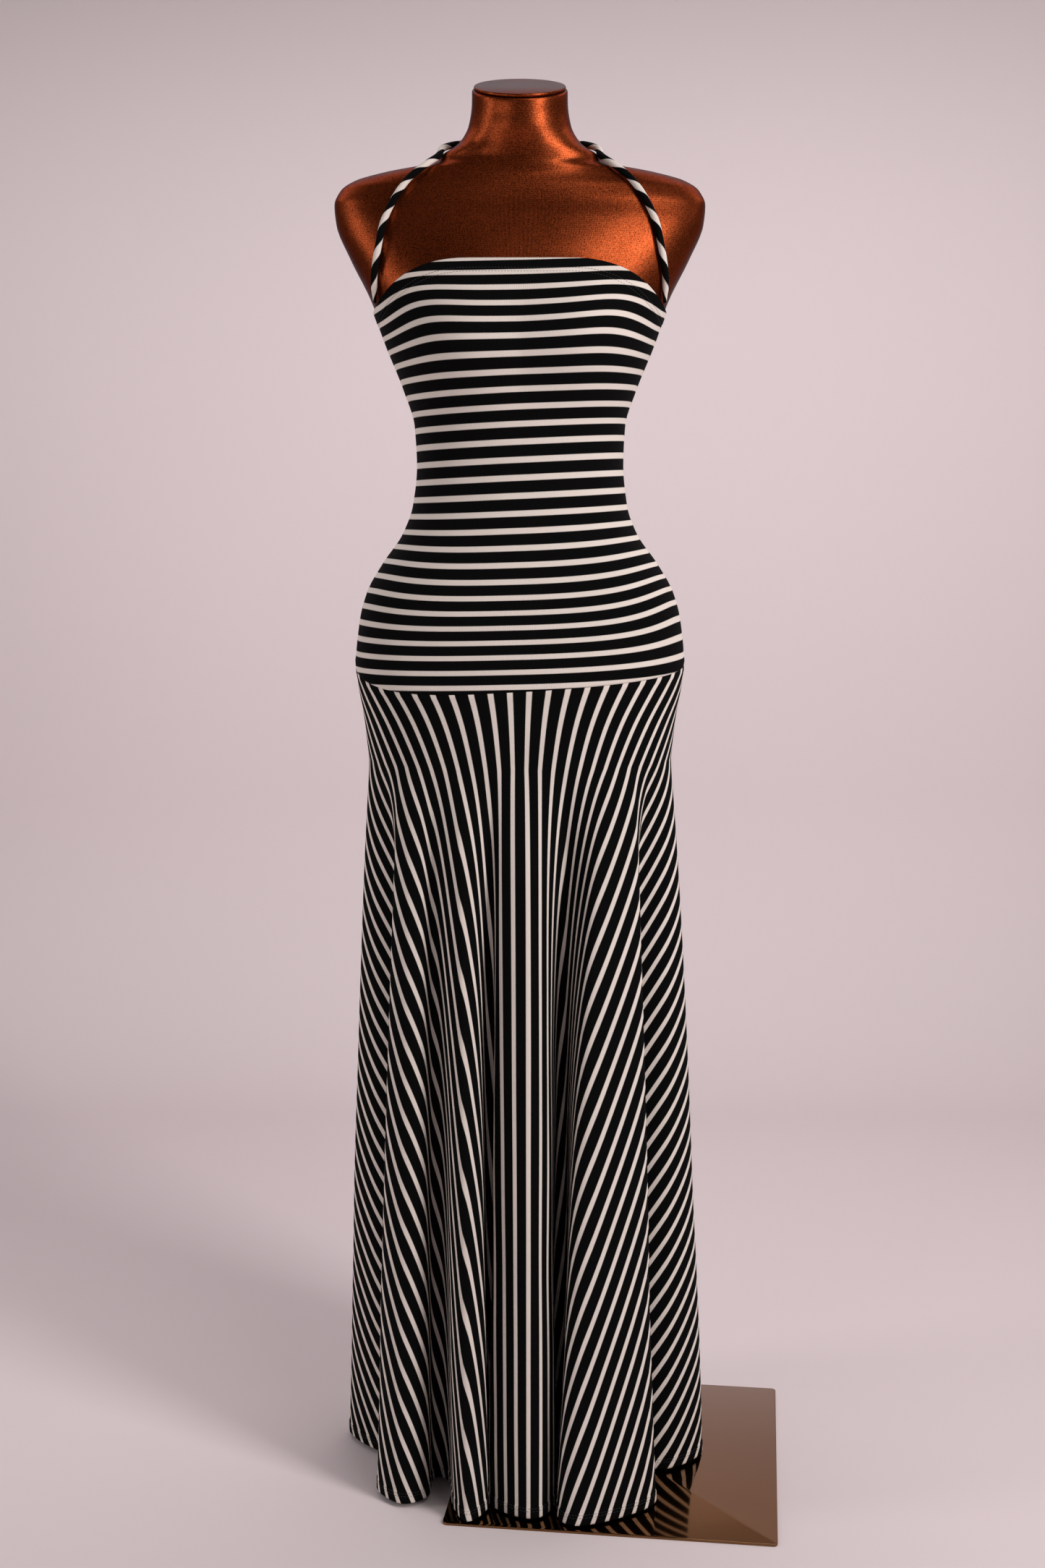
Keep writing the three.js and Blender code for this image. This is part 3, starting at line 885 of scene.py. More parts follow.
@dataclass
class Bodice:
    """The close-fitting upper part, from the hip seam to its curved upper edge, in level stripes."""

    shape: FormShape
    knit: bpy.types.Material
    thread: bpy.types.Material
    period: float
    gap: float = 0.0005
    thickness: float = 0.0012
    half_seam: float = 0.00015
    columns: int = 120
    seam_front: float = 0.890
    seam_side: float = 0.910
    seam_back: float = 0.906
    seam_curve: float = 1.5
    seam_skew: float = 0.006
    neckline_front: float = 1.321
    neckline_side: float = 1.277
    neckline_flat: float = math.radians(15)
    neckline_corner: float = math.radians(85)
    edge_depth: float = 0.012
    edge_fold: float = 0.0005
    seam_ridge: float = 0.0006
    seam_ridge_at: float = 0.004
    seam_ridge_spread: float = 0.0022
    side_radius: float = 0.16
    cut_radius: float = 0.125
    wave: float = 0.0005
    waves_around: float = 2.2
    waves_per_metre: float = 14
    stitched_below: tuple[float, float] = (0.0100, 0.0135)
    stitch_points: int = 1440
    flat_front: tuple[float, float] = (0.42, 0.44)
    flat_back: tuple[float, float] = (0.42, 0.40)
    side_pulls_from: float = 60
    side_pull_fade: float = 2.2
    stripe_skew: float = 0.0055
    stripe_rows: tuple[tuple[int, float], ...] = (
        (27, 0.8800), (26, 0.8952), (24, 0.9254), (20, 0.9852), (19, 1.0012), (15, 1.0698), (13, 1.1060),
        (10, 1.1601), (7, 1.2114), (5, 1.2453), (3, 1.2770), (1, 1.3069), (0, 1.3210), (-1, 1.3350),
    )
    pulls: tuple[Pull, ...] = (
        Pull(37, 12, 1.280, 0.028, 0.0045),
        Pull(-37, 12, 1.280, 0.028, 0.0050),
        Pull(76, 15, 1.278, 0.034, -0.0090),
        Pull(-76, 18, 1.278, 0.034, -0.0095),
        Pull(76, 24, 0.978, 0.036, 0.0150),
        Pull(-76, 24, 0.990, 0.036, 0.0085),
    )

    def seam_height(self, turn: float) -> float:
        """The height of the seam between bodice and skirt at an angle."""
        ahead = math.cos(turn)
        if ahead < 0:
            return lerp(self.seam_side, self.seam_back, -ahead)
        rise = (1 - ahead) ** self.seam_curve
        return lerp(self.seam_front, self.seam_side, rise) + self.seam_skew * math.sin(2 * turn)

    def neckline_height(self, turn: float) -> float:
        """The height of the upper edge at an angle."""
        away = math.acos(math.cos(turn))
        fall = smoothstep(away, self.neckline_flat, self.neckline_corner)
        return lerp(self.neckline_front, self.neckline_side, fall)

    def stripe_lift(self, turn: float, height: float) -> float:
        """How far the stripes stand above their height at the centre front.

        Args:
            turn: the angle round the form.
            height: the height on the form.

        Returns:
            The lift in metres.
        """
        angle = math.degrees(math.atan2(math.sin(turn), math.cos(turn)))
        lift = self.stripe_skew * math.sin(turn)
        for pull in self.pulls:
            at_side = abs(pull.turn) > self.side_pulls_from and angle * pull.turn > 0
            beyond = at_side and abs(angle) > abs(pull.turn)
            off = (angle - pull.turn) / (self.side_pull_fade if beyond else 1.0)
            lift += pull.lift * bell(off, pull.turn_spread) * bell(height - pull.height, pull.height_spread)
        return lift

    def rows(self) -> list[float]:
        """The shares of the way from the seam to the upper edge, closer at both ends."""
        near_seam = [0, 0.004, 0.008, 0.014, 0.022]
        near_edge = [0.965, 0.972, 0.98, 0.988, 0.994, 0.998, 1]
        return near_seam + stretch(0.03, 0.96, 88) + near_edge

    def relief(self, turn: float, height: float) -> float:
        """How far the cloth stands off its even lie: seam ridges, the folded edge and faint waves."""
        above_seam = height - self.seam_height(turn)
        below_edge = self.neckline_height(turn) - height
        ridge = self.seam_ridge * bell(above_seam - self.seam_ridge_at, self.seam_ridge_spread)
        edge_start = self.edge_depth - MILLIMETRE
        folded = self.edge_fold * (1 - smoothstep(below_edge, edge_start, self.edge_depth + MILLIMETRE))
        side = abs(math.cos(turn)) * self.side_radius
        side_ridge = self.seam_ridge * 0.7 * bell(side - self.seam_ridge_at, self.seam_ridge_spread)
        around = self.waves_around
        where = Vector((math.sin(turn) * around, math.cos(turn) * around, height * self.waves_per_metre))
        wave = self.wave * max(0.0, 0.5 + noise.noise(where))
        return ridge + folded + side_ridge + wave

    def outer_point(self, turn: float, height: float, proud: float = 0.0) -> Vector:
        """A point on the bodice's outer face, or proud of it."""
        return self.shape.off(turn, height, self.gap + self.thickness + self.relief(turn, height) + proud)

    def build_panel(self, side: Side) -> bpy.types.Object:
        """Makes the front or the back panel.

        Args:
            side: which panel.

        Returns:
            The object.
        """
        rows = self.rows()
        side_gap = self.half_seam / self.shape.levels[0].half_width
        start = side.value - QUARTER_TURN + side_gap
        end = side.value + QUARTER_TURN - side_gap
        turns = [lerp(start, end, i / self.columns) for i in range(self.columns + 1)]
        placed = sorted((height, number) for number, height in self.stripe_rows)
        numbers = Smooth([height for height, _ in placed], [float(number) for _, number in placed])

        def height_at(column: int, row: int) -> float:
            """The height on the form at a cell."""
            turn = turns[column]
            return lerp(self.seam_height(turn) + self.half_seam, self.neckline_height(turn), rows[row])

        def place(column: int, row: int) -> Vector:
            """The point of the inner face at a cell."""
            height = height_at(column, row)
            turn = turns[column]
            return self.shape.off(turn, height, self.gap + self.relief(turn, height))

        def cut(column: int, row: int) -> tuple[float, float]:
            """The place in the flat cloth at a cell."""
            height = height_at(column, row)
            turn = turns[column]
            number = numbers.at(height - self.stripe_lift(turn, height))
            return (turn - side.value) * self.cut_radius, number * self.period

        name = f"bodice_{side.name.lower()}"
        panel = smooth_object(f"{name}_knit", bent_grid(self.columns, len(rows) - 1, place, cut), self.knit)
        give_wall(panel, self.thickness)
        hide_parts(name)
        return on_frame(panel, Slot.KNIT.value)

    def build(self) -> list[bpy.types.Object]:
        """Makes both panels and the rows of stitching at the upper edge."""
        panels = [self.build_panel(side) for side in Side]
        stitching = Stitching(self.thread)
        turns = stretch(-math.pi, math.pi, self.stitch_points)
        for below in self.stitched_below:
            line = [
                self.outer_point(turn, self.neckline_height(turn) - below, STITCH_PROUD) for turn in turns
            ]
            stitching.run(line + line[:1])
        rows = on_frame(stitching.finish("upper_edge_stitching"), Slot.KNIT.value)
        for side, panel in zip(Side, panels):
            self.flat_front if side is Side.FRONT else self.flat_back
        return [*panels, rows]


@dataclass
class Stitching:
    """Rows of short raised stitches, gathered in one piece."""

    thread: bpy.types.Material
    length: float = 0.0026
    pitch: float = 0.0032
    radius: float = 0.00022
    places: list[Matrix] = field(default_factory=list)

    def run(self, line: list[Vector]) -> None:
        """Lays stitches along a line.

        Args:
            line: close points of the line.
        """
        travelled = 0.0
        due = 0.0
        size = Matrix.Diagonal((self.length / 2, self.radius, self.radius, 1))
        for start, end in zip(line, line[1:]):
            step = (end - start).length
            while step > 0 and due <= travelled + step:
                middle = start.lerp(end, (due - travelled) / step)
                turned = (end - start).to_track_quat("X", "Z").to_matrix().to_4x4()
                self.places.append(Matrix.Translation(middle) @ turned @ size)
                due += self.pitch
            travelled += step

    def finish(self, name: str) -> bpy.types.Object:
        """Copies one stitch to every place and turns them into one object.

        Args:
            name: the piece's name.

        Returns:
            The object.
        """
        stitch = bmesh.new()
        bmesh.ops.create_uvsphere(stitch, u_segments=6, v_segments=3, radius=1)
        count = len(stitch.verts)
        pattern = bpy.data.meshes.new("one_stitch")
        stitch.to_mesh(pattern)
        stitch.free()
        shape = bmesh.new()
        for _ in self.places:
            shape.from_mesh(pattern)
        for i, vert in enumerate(shape.verts):
            vert.co = self.places[i // count] @ vert.co
        bpy.data.meshes.remove(pattern)
        return smooth_object(name, shape, self.thread)


@dataclass(frozen=True)
class Fold:
    """One fold at the hem: its crest, the way that it faces, its lobe's reach, and the valley after it.

    cut is the crest's angle in the flat cut and facing its direction in plan, both in degrees.
    """

    cut: float
    x: float
    y: float
    facing: float
    left: float
    right: float
    drop: float
    valley_x: float
    valley_y: float


FOLDS = (
    Fold(-39.5, -0.199, 0.050, -95, 0.042, 0.048, 0.038, -0.100, -0.025),
    Fold(-24.0, -0.128, -0.120, -25, 0.042, 0.017, 0.022, -0.089, -0.066),
    Fold(-13.0, -0.056, -0.156, -3, 0.015, 0.017, 0.025, -0.030, -0.070),
    Fold(0.7, 0.014, -0.151, 0, 0.046, 0.024, 0.031, 0.043, -0.026),
    Fold(19.5, 0.060, -0.165, 20, 0.011, 0.098, 0.018, 0.078, -0.036),
    Fold(39.0, 0.207, -0.003, 80, 0.048, 0.042, 0.034, 0.088, 0.040),
    Fold(55.5, 0.166, 0.090, 118, 0.024, 0.026, 0.024, 0.054, 0.050),
    Fold(72.0, 0.098, 0.146, 146, 0.024, 0.024, 0.024, 0.022, 0.062),
    Fold(88.0, 0.020, 0.167, 175, 0.026, 0.022, 0.025, -0.008, 0.060),
    Fold(105.0, -0.062, 0.161, 203, 0.024, 0.025, 0.024, -0.038, 0.056),
    Fold(122.5, -0.137, 0.119, 229, 0.023, 0.017, 0.024, -0.068, 0.038),
)


@dataclass
class Skirt:
    """The flared skirt: two panels, each cut as a quarter of a ring and hung in deep folds from the hips.

    Angles in the flat cut are in degrees.
    """

    shape: FormShape
    bodice: Bodice
    knit: bpy.types.Material
    thread: bpy.types.Material
    folds: tuple[Fold, ...] = FOLDS
    hem_height: float = 0.006
    leaves: float = 0.808
    opening: float = 0.7
    ease: float = 0.012
    valley_half_width: float = 0.007
    samples: int = 24
    every: int = 3
    front_cut: float = 45.0
    whole_cut: float = 180.0
    top_radius: float = 0.217
    radius_share: float = 0.9
    stripe_shift: float = 0.007
    hem_band: float = 0.012
    hem_fold: float = 0.0007
    stitched_rows: tuple[int, int] = (3, 4)
    stitch_pitch: float = 0.0036
    stitch_length: float = 0.0029
    side_seam_half: float = 0.012
    first_column_after: float = 0.3
    sway: float = 0.0022
    fine_sway: float = 0.0008
    sway_from: float = 0.10
    sway_full: float = 0.75

    def __post_init__(self) -> None:
        """Draws the hem in plan and lays its columns out."""
        self.hem = RoundCurve(self.hem_points(), closed=True)
        self.stretches = len(self.folds) * 5
        self.whole = self.hem_cuts()
        self.turn_at = self.turns_of_cuts()

    def hem_points(self) -> list[Vector]:
        """The hem in plan: shoulder, crest, shoulder and both sides of the valley of each fold."""
        points = []
        for i, fold in enumerate(self.folds):
            after = self.folds[(i + 1) % len(self.folds)]
            facing = math.radians(fold.facing)
            outward = Vector((math.sin(facing), -math.cos(facing), 0))
            along = Vector((math.cos(facing), math.sin(facing), 0))
            crest = Vector((fold.x, fold.y, 0))
            valley = Vector((fold.valley_x, fold.valley_y, 0))
            mouth = Vector((fold.x + after.x, fold.y + after.y, 0)) / 2
            out = (mouth - valley).normalized()
            across = Vector((-out.y, out.x, 0)) * self.valley_half_width
            points.append(crest - along * fold.left - outward * fold.drop)
            points.append(crest)
            points.append(crest + along * fold.right - outward * fold.drop)
            points.append(valley - across)
            points.append(valley + across)
        return points

    def hem_cuts(self) -> list[tuple[float, float]]:
        """Places round the hem with their angle in the flat cut, over two rounds.

        Returns:
            Pairs of a place, which is 1 after one round, and an angle in degrees.
        """
        count = self.stretches * self.samples
        lengths = distances([self.hem.at(i / count) for i in range(count + 1)])
        cuts = []
        for i, fold in enumerate(self.folds):
            last = i == len(self.folds) - 1
            start = (i * 5 + 1) * self.samples
            end = start + 5 * self.samples
            next_cut = self.folds[0].cut + self.whole_cut if last else self.folds[i + 1].cut
            for sample in range(start, end):
                beyond = lengths[sample % count] + (sample // count) * lengths[count]
                whole = lengths[end % count] + (end // count) * lengths[count] - lengths[start]
                share = (beyond - lengths[start]) / whole
                cuts.append((sample / count, lerp(fold.cut, next_cut, share)))
        return cuts + [(place + 1, cut + self.whole_cut) for place, cut in cuts]

    def place_of(self, cut: float) -> float:
        """The place on the hem of an angle in the flat cut."""
        i = bisect_left([entry[1] for entry in self.whole], cut)
        (before, low), (after, high) = self.whole[i - 1], self.whole[i]
        return lerp(before, after, (cut - low) / (high - low))

    def columns(self, side: Side) -> list[tuple[float, float]]:
        """The columns of one panel, from its left side seam to its right, with the seams' gap kept.

        Args:
            side: which panel.

        Returns:
            Pairs of a place on the hem and an angle in the flat cut.
        """
        start = self.whole_cut - self.front_cut + (2 * self.front_cut if side is Side.BACK else 0.0)
        end = start + 2 * self.front_cut
        half_seam = self.side_seam_half
        inset = self.first_column_after
        between = [
            (place, cut) for i, (place, cut) in enumerate(self.whole)
            if i % self.every == 0 and start + inset < cut < end - inset
        ]
        first = (self.place_of(start + half_seam), start + half_seam)
        last = (self.place_of(end - half_seam), end - half_seam)
        return [first, *between, last]

    def turns_of_cuts(self) -> Callable[[float], float]:
        """Spreads the flat cut's angles evenly along the hip.

        Returns:
            A function from an angle in the flat cut to the angle round the form.
        """
        fine = 720
        turns = [math.pi * i / fine for i in range(fine + 1)]
        lengths = distances([self.shape.point(turn, self.leaves) for turn in turns])
        side = lengths[fine // 2]

        def turn_of(cut: float) -> float:
            """The angle round the form for an angle in the flat cut."""
            wrapped = (cut + self.whole_cut / 2) % self.whole_cut - self.whole_cut / 2
            away = abs(wrapped)
            if away > self.front_cut:
                share = (away - self.front_cut) / (self.whole_cut / 2 - self.front_cut)
                length = lerp(side, lengths[fine], share)
            else:
                length = side * away / self.front_cut
            i = max(1, min(bisect_left(lengths, length - 1e-12), fine))
            share = (length - lengths[i - 1]) / (lengths[i] - lengths[i - 1])
            return math.copysign(lerp(turns[i - 1], turns[i], share), wrapped)

        return turn_of

    def opened(self, step: float) -> float:
        """How far the folds have opened at a share of the way from the hips to the hem."""
        start = self.ease ** self.opening
        return ((step + self.ease) ** self.opening - start) / ((1 + self.ease) ** self.opening - start)

    def heights(self) -> list[Callable[[float], float]]:
        """The rows, from the hem up, each a function from the seam's height to the row's."""
        hem = self.hem_height
        low = [0.0, 0.002, 0.005, 0.008, 0.011, 0.0125, 0.014, 0.017]
        levels = [hem + height for height in low] + stretch(hem + 0.022, self.leaves, 84)
        rows = [lambda _, level=level: level for level in levels]
        for share in stretch(0, 0.9, 9) + [0.9, 0.93, 0.955, 0.975, 0.99, 1.0]:
            rows.append(lambda top, share=share: lerp(self.leaves, top, share))
        return rows

    def inner_sheet(self, side: Side) -> tuple[list[tuple[float, float]], list[list[Vector]]]:
        """The panel's inner face, before its fine relief.

        Args:
            side: which panel.

        Returns:
            The columns, and the rows of points from the hem up.
        """
        columns = self.columns(side)
        gap = self.bodice.gap
        turns = [self.turn_at(cut) for _, cut in columns]
        tops = [self.bodice.seam_height(turn) - self.bodice.half_seam for turn in turns]
        ring = [self.shape.off(turn, self.leaves, gap) for turn in turns]
        hem = [self.hem.at(place) for place, _ in columns]
        sheet = []
        for height_of in self.heights():
            row = []
            for i, turn in enumerate(turns):
                height = height_of(tops[i])
                if height >= self.leaves:
                    row.append(self.shape.off(turn, height, gap))
                    continue
                share = self.opened((self.leaves - height) / (self.leaves - self.hem_height))
                flat = ring[i].lerp(hem[i], share)
                row.append(Vector((flat.x, flat.y, height)))
            sheet.append(row)
        return columns, sheet

    @staticmethod
    def outward(sheet: list[list[Vector]], row: int, column: int) -> Vector:
        """The direction out of a sheet at a cell."""
        last_row = len(sheet) - 1
        last_column = len(sheet[0]) - 1
        along = sheet[row][min(column + 1, last_column)] - sheet[row][max(column - 1, 0)]
        upward = sheet[min(row + 1, last_row)][column] - sheet[max(row - 1, 0)][column]
        return along.cross(upward).normalized()

    def relief(self, cut: float, point: Vector, turn: float) -> float:
        """How far the cloth stands off its even lie at a point."""
        above_hem = point.z - self.hem_height
        below_seam = self.bodice.seam_height(turn) - point.z
        band = self.hem_band
        folded = self.hem_fold * (1 - smoothstep(above_hem, band - MILLIMETRE, band + MILLIMETRE))
        ridge_at = self.bodice.seam_ridge_at
        ridge = self.bodice.seam_ridge * bell(below_seam - ridge_at, self.bodice.seam_ridge_spread)
        low = smoothstep(below_seam, self.sway_from, self.sway_full)
        angle = math.radians(cut)
        where = Vector((math.sin(angle) * 7, math.cos(angle) * 7, point.z * 3.2))
        fine = Vector((math.sin(angle) * 23, math.cos(angle) * 23, point.z * 9))
        sway = (self.sway * noise.noise(where) + self.fine_sway * noise.noise(fine)) * low
        return folded + ridge + sway

    def flat_place(self, side: Side, cut: float, turn: float, height: float) -> tuple[float, float]:
        """The place in the flat cloth, along the stripes and across them."""
        middle = self.whole_cut if side is Side.FRONT else self.whole_cut * 1.5
        angle = math.radians(cut - middle)
        radius = self.top_radius + self.radius_share * (self.bodice.seam_height(turn) - height)
        return radius * math.cos(angle), radius * math.sin(angle) - self.stripe_shift

    def build_panel(self, side: Side, stitching: Stitching) -> bpy.types.Object:
        """Makes the front or the back panel and stitches its hem.

        Args:
            side: which panel.
            stitching: takes the hem's stitches.

        Returns:
            The object.
        """
        columns, even = self.inner_sheet(side)
        turns = [self.turn_at(cut) for _, cut in columns]
        sheet = []
        for row, points in enumerate(even):
            moved = []
            for i, point in enumerate(points):
                proud = self.relief(columns[i][1], point, turns[i])
                moved.append(point + self.outward(even, row, i) * proud)
            sheet.append(moved)

        def cut(column: int, row: int) -> tuple[float, float]:
            """The place in the flat cloth at a cell."""
            return self.flat_place(side, columns[column][1], turns[column], even[row][column].z)

        name = f"skirt_{side.name.lower()}"
        grid = bent_grid(len(columns) - 1, len(sheet) - 1, lambda i, row: sheet[row][i], cut)
        panel = smooth_object(f"{name}_knit", grid, self.knit)
        give_wall(panel, self.bodice.thickness)
        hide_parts(name)
        lift = self.bodice.thickness + STITCH_PROUD
        for row in self.stitched_rows:
            stitching.run([
                point + self.outward(sheet, row, i) * lift for i, point in enumerate(sheet[row])
            ])
        return on_frame(panel, Slot.KNIT.value)

    def build(self) -> list[bpy.types.Object]:
        """Makes both panels and the stitching of the hem."""
        stitching = Stitching(self.thread, pitch=self.stitch_pitch, length=self.stitch_length)
        panels = [self.build_panel(side, stitching) for side in Side]
        rows = on_frame(stitching.finish("hem_stitching"), Slot.KNIT.value)
        hem_radius = self.top_radius + self.radius_share * (self.bodice.seam_front - self.hem_height)
        corner = math.sin(math.radians(self.front_cut))
        flat = (2 * hem_radius * corner, hem_radius - self.top_radius * corner)
        area = (hem_radius ** 2 - self.top_radius ** 2) * math.radians(self.front_cut)
        return [*panels, rows]


@dataclass
class Strap:
    """The halter strap: a bias-cut tube from one upper corner round the nape to the other."""

    shape: FormShape
    knit: bpy.types.Material
    period: float
    radius: float = 0.0035
    lift: float = 0.0012
    wall: float = 0.0010
    sides: int = 24
    steps: int = 320
    twist: float = 0.036
    strip_width: float = 0.022
    slant: float = 0.5
    end_reach: float = 0.02
    end_flatness: float = 0.5
    end_width: float = 1.15
    crease_depth: float = 0.05
    crease_spread: float = 0.16
    route: tuple[tuple[float, float], ...] = (
        (68, 1.2858), (64, 1.2955), (58.5, 1.309), (53.1, 1.322), (48.2, 1.3365), (41.3, 1.360),
        (35.5, 1.385), (35, 1.404), (43, 1.419), (62, 1.429), (80, 1.4375), (105, 1.4445), (140, 1.4505),
    )
    nape: tuple[float, float] = (180, 1.453)

    def path(self) -> RoundCurve:
        """The strap's middle line, from the left corner over the nape to the right corner."""
        off = self.radius + self.lift
        left = [self.shape.off(-math.radians(turn), height, off) for turn, height in self.route]
        right = [self.shape.off(math.radians(turn), height, off) for turn, height in reversed(self.route)]
        nape = self.shape.off(math.radians(self.nape[0]), self.nape[1], off)
        return RoundCurve([*left, nape, *right], closed=False)

    def build(self) -> bpy.types.Object:
        """Makes the strap.

        Returns:
            The object.
        """
        path = self.path()
        middle = [path.at(i / self.steps) for i in range(self.steps + 1)]
        lengths = distances(middle)
        total = lengths[-1]
        frames = []
        axis = Vector((0, 0, 1))
        for i in range(self.steps + 1):
            ahead = (middle[min(i + 1, self.steps)] - middle[max(i - 1, 0)]).normalized()
            out = Vector((middle[i].x, middle[i].y, 0)).normalized()
            side = ahead.cross(out).normalized()
            frames.append((side, side.cross(ahead).normalized(), ahead))

        def place(column: int, row: int) -> Vector:
            """The point of the tube at a cell."""
            angle = FULL_TURN * column / self.sides
            side, out, _ = frames[row]
            near_end = min(lengths[row], total - lengths[row])
            away = smoothstep(near_end, 0.0, self.end_reach)
            flat = lerp(self.end_flatness, 1.0, away)
            wide = lerp(self.end_width, 1.0, away)
            from_crease = math.remainder(angle - QUARTER_TURN, FULL_TURN)
            crease = 1 - self.crease_depth * bell(from_crease, self.crease_spread)
            across = side * (self.radius * wide * math.cos(angle) * crease)
            return middle[row] + across + out * (self.radius * flat * math.sin(angle) * crease)

        def cut(column: int, row: int) -> tuple[float, float]:
            """The place in the flat cloth at a cell: one stripe winds once round in each twist."""
            around = column / self.sides
            from_nape = lengths[row] - total / 2
            wound = around if from_nape < 0 else -around
            along = around * self.strip_width - lengths[row] * self.slant
            return along, (from_nape / self.twist + wound) * self.period

        grid = bent_grid(self.sides, self.steps, place, cut, closed=True)
        bmesh.ops.recalc_face_normals(grid, faces=grid.faces)
        strap = smooth_object("strap_knit", grid, self.knit)
        give_wall(strap, self.wall, offset=-1.0)
        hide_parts("halter_strap")
        FULL_TURN * self.radius
        LOG.info("strap %.3f m long", total)
        return on_frame(strap, Slot.KNIT.value)


@dataclass
class Stand:
    """The square plate with its mirror finish, and the pole."""

    bronze: bpy.types.Material
    steel: bpy.types.Material
    plate_side: float = 0.356
    plate_thickness: float = 0.003
    plate_corner: float = 0.005
    plate_edge: float = 0.0006
    plate_centre: Vector = field(default_factory=lambda: Vector((0.115, 0, 0)))
    plate_turn: float = math.radians(-7)

    def build_plate(self) -> bpy.types.Object:
        """Makes the plate with rounded corners and a fine bevel.

        Returns:
            The object.
        """
        shape = bmesh.new()
        bmesh.ops.create_cube(shape, size=1.0)
        size = Vector((self.plate_side, self.plate_side, self.plate_thickness))
        bmesh.ops.scale(shape, vec=size, verts=shape.verts)
        upright = [edge for edge in shape.edges if abs(edge.verts[0].co.z - edge.verts[1].co.z) > 1e-6]
        rounded = {"profile": 0.5, "affect": "EDGES", "material": -1}
        bmesh.ops.bevel(shape, geom=upright, offset=self.plate_corner, segments=6, **rounded)
        rim = [
            edge for edge in shape.edges
            if abs(edge.verts[0].co.z - edge.verts[1].co.z) < 1e-6
            and any(abs(face.normal.z) < 0.5 for face in edge.link_faces)
        ]
        bmesh.ops.bevel(shape, geom=rim, offset=self.plate_edge, segments=2, **rounded)
        bmesh.ops.translate(shape, vec=Vector((0, 0, self.plate_thickness / 2)), verts=shape.verts)
        bmesh.ops.rotate(shape, matrix=Matrix.Rotation(self.plate_turn, 3, "Z"), verts=shape.verts)
        bmesh.ops.translate(shape, vec=self.plate_centre, verts=shape.verts)
        plate = smooth_object("plate_mirror", shape, self.bronze)
        plate.data.set_sharp_from_angle(angle=math.radians(30))
        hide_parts("base_plate")
        return on_frame(plate, Slot.BRONZE.value)

    def dress_pole(self) -> bpy.types.Object:
        """Gives the frame's own pole its finish."""
        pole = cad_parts["stand_pole"]
        pole.data.materials.clear()
        pole.data.materials.append(self.steel)
        return pole

    def build(self) -> list[bpy.types.Object]:
        """Makes the plate and dresses the pole."""
        return [self.build_plate(), self.dress_pole()]


@dataclass(frozen=True)
class Softbox:
    """An area light: where it stands, what it looks at, its size and its strength."""

    name: str
    place: tuple[float, float, float]
    target: tuple[float, float, float]
    width: float
    height: float
    watts: float
    tint: tuple[float, float, float] = (1.0, 1.0, 1.0)

    def build(self) -> bpy.types.Object:
        """Makes the light.

        Returns:
            The object.
        """
        data = bpy.data.lights.new(self.name, "AREA")
        data.shape = "RECTANGLE"
        data.size = self.width
        data.size_y = self.height
        data.energy = self.watts
        data.color = self.tint
        light = bpy.data.objects.new(self.name, data)
        light.location = self.place
        towards = Vector(self.target) - Vector(self.place)
        light.rotation_euler = towards.to_track_quat("-Z", "Y").to_euler()
        bpy.context.scene.collection.objects.link(light)
        return light


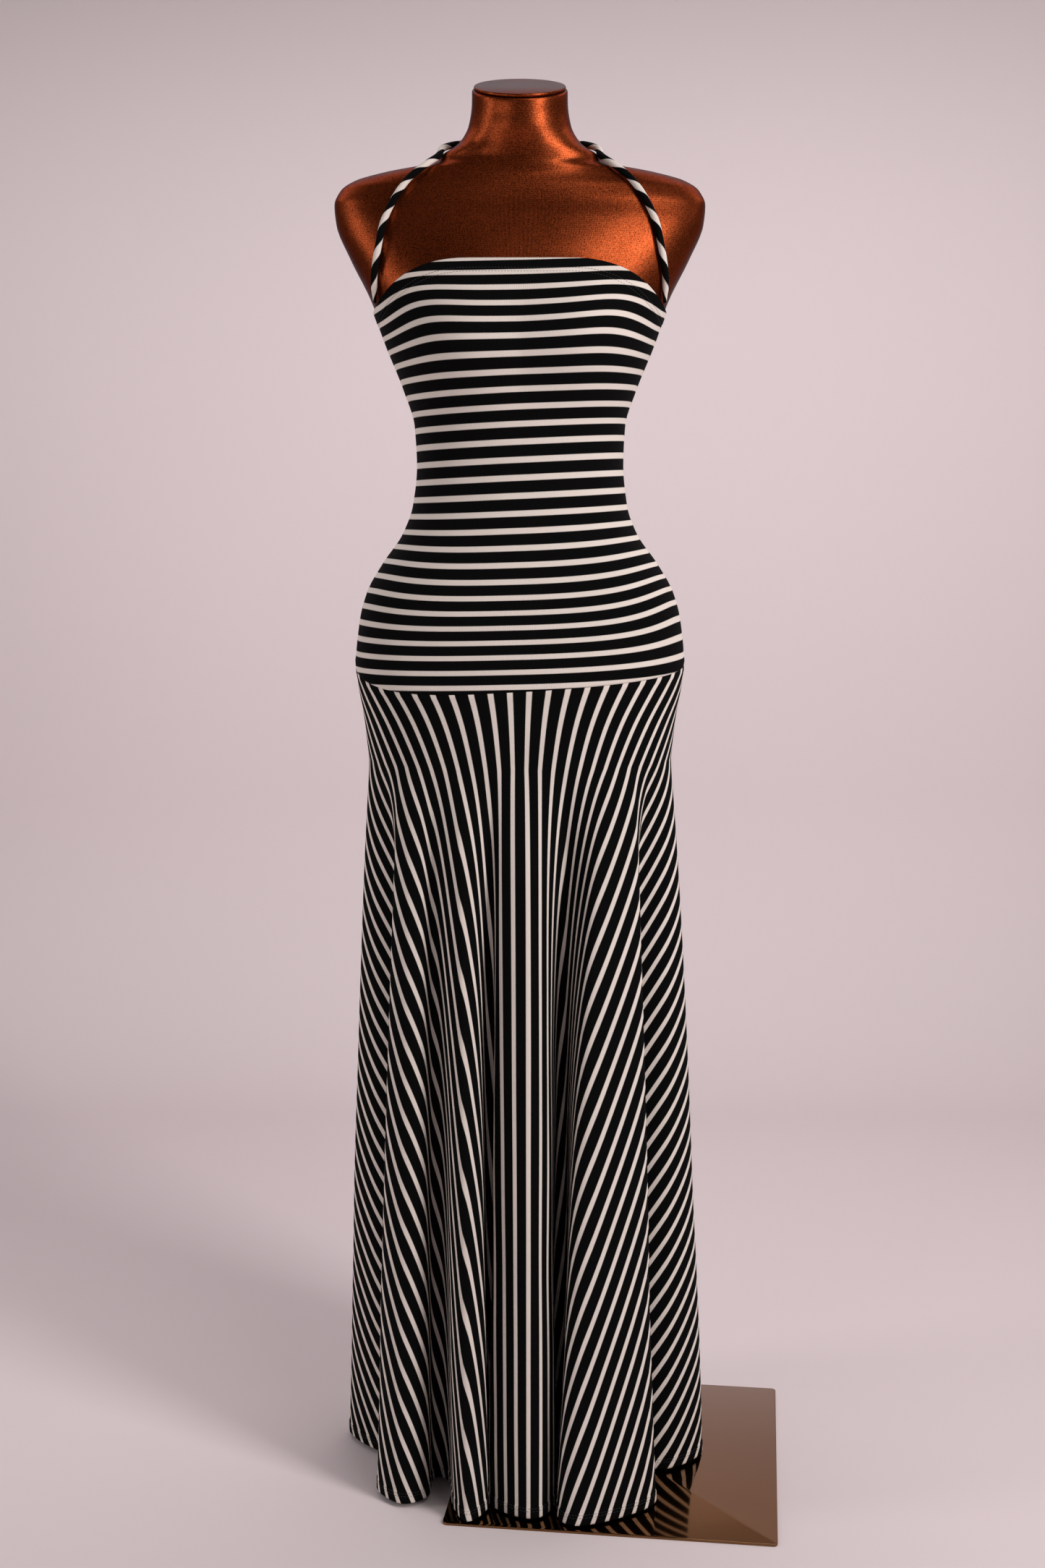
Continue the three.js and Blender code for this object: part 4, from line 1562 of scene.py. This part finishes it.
@dataclass
class Studio:
    """The plain pale floor and backdrop, the soft light and the camera."""

    backdrop_behind: float = 1.7
    sweep: float = 0.5
    half_width: float = 3.2
    forward: float = 3.4
    height: float = 3.4
    world: Colour = colour(0.08, 0.074, 0.075)
    camera_place: tuple[float, float, float] = (0.0027, -2.060, 1.093)
    camera_pitch: float = math.radians(8.7)
    lens: float = 44.0
    lights: tuple[Softbox, ...] = (
        Softbox("key_softbox", (1.75, -1.5, 1.7), (0, 0, 1.05), 0.6, 2.4, 54, (1.0, 0.955, 0.94)),
        Softbox("high_softbox", (0.9, -1.3, 3.0), (0, 0, 1.0), 0.9, 0.6, 13, (1.0, 0.955, 0.94)),
        Softbox("side_strip", (-1.8, -0.35, 1.3), (0, 0, 0.95), 0.4, 2.2, 10.5, (1.0, 0.95, 0.94)),
        Softbox("left_fill", (-2.0, -2.0, 0.6), (0, 0, 0.5), 2.0, 1.2, 12, (1.0, 0.95, 0.94)),
        Softbox("wall_wash", (0.1, 0.6, 2.0), (0.1, 0.75, 0.0), 3.0, 0.8, 15.5, (1.0, 0.96, 0.975)),
    )

    def build_backdrop(self) -> bpy.types.Object:
        """Makes the floor and the backdrop as one swept sheet.

        Returns:
            The object.
        """
        profile = [(-self.forward, 0.0), (self.backdrop_behind - self.sweep, 0.0)]
        for i in range(1, 17):
            angle = QUARTER_TURN * i / 16
            y = self.backdrop_behind - self.sweep + self.sweep * math.sin(angle)
            profile.append((y, self.sweep * (1 - math.cos(angle))))
        profile.append((self.backdrop_behind, self.height))
        widths = [lerp(-self.half_width, self.half_width, i / 8) for i in range(9)]
        shape = bent_grid(
            len(widths) - 1,
            len(profile) - 1,
            lambda column, row: Vector((widths[column], *profile[row])),
            lambda column, row: (widths[column], profile[row][0]),
        )
        paper = Paper("pale_paper", colour(0.72, 0.635, 0.65)).build()
        backdrop = smooth_object("studio_backdrop", shape, paper)
        return backdrop

    def build_camera(self) -> bpy.types.Object:
        """Makes the camera at the photograph's viewing angle.

        Returns:
            The object.
        """
        data = bpy.data.cameras.new("front_camera")
        data.lens = self.lens
        camera = bpy.data.objects.new("front_camera", data)
        camera.location = self.camera_place
        camera.rotation_euler = (QUARTER_TURN - self.camera_pitch, 0, 0)
        bpy.context.scene.collection.objects.link(camera)
        bpy.context.scene.camera = camera
        return camera

    def build(self) -> None:
        """Makes the backdrop, the lights, the dim surroundings and the camera."""
        self.build_backdrop()
        for softbox in self.lights:
            softbox.build()
        world = bpy.data.worlds.new("studio_surroundings")
        world.use_nodes = True
        world.node_tree.nodes["Background"].inputs["Color"].default_value = self.world
        bpy.context.scene.world = world
        bpy.context.scene.view_settings.view_transform = "Standard"
        self.build_camera()


def main() -> None:
    """Builds the dress, its form and stand, and the studio."""
    logging.basicConfig(level=logging.INFO, format="%(name)s: %(message)s")
    cloth = StripedKnit("striped_knit")
    knit = cloth.build()
    skirt_knit = StripedKnit("striped_knit_skirt", cream_share=0.30).build()
    strap_knit = StripedKnit("striped_knit_bias", cream_share=0.40).build()
    thread = Thread("sewing_thread").build()
    satin = Satin("satin_cover").build()
    shape = FormShape()
    bodice = Bodice(shape, knit, thread, cloth.period)
    pieces = DressForm(shape, satin).build()
    pieces += bodice.build()
    pieces += Skirt(shape, bodice, skirt_knit, thread).build()
    pieces.append(Strap(shape, strap_knit, cloth.period).build())
    pieces += Stand(BronzeMirror("plate_bronze").build(), BrushedSteel("pole_steel").build()).build()
    for piece in pieces:
        LOG.info("%s: %d faces", piece.name, len(piece.data.polygons))
    Studio().build()


if __name__ == "__main__":
    main()
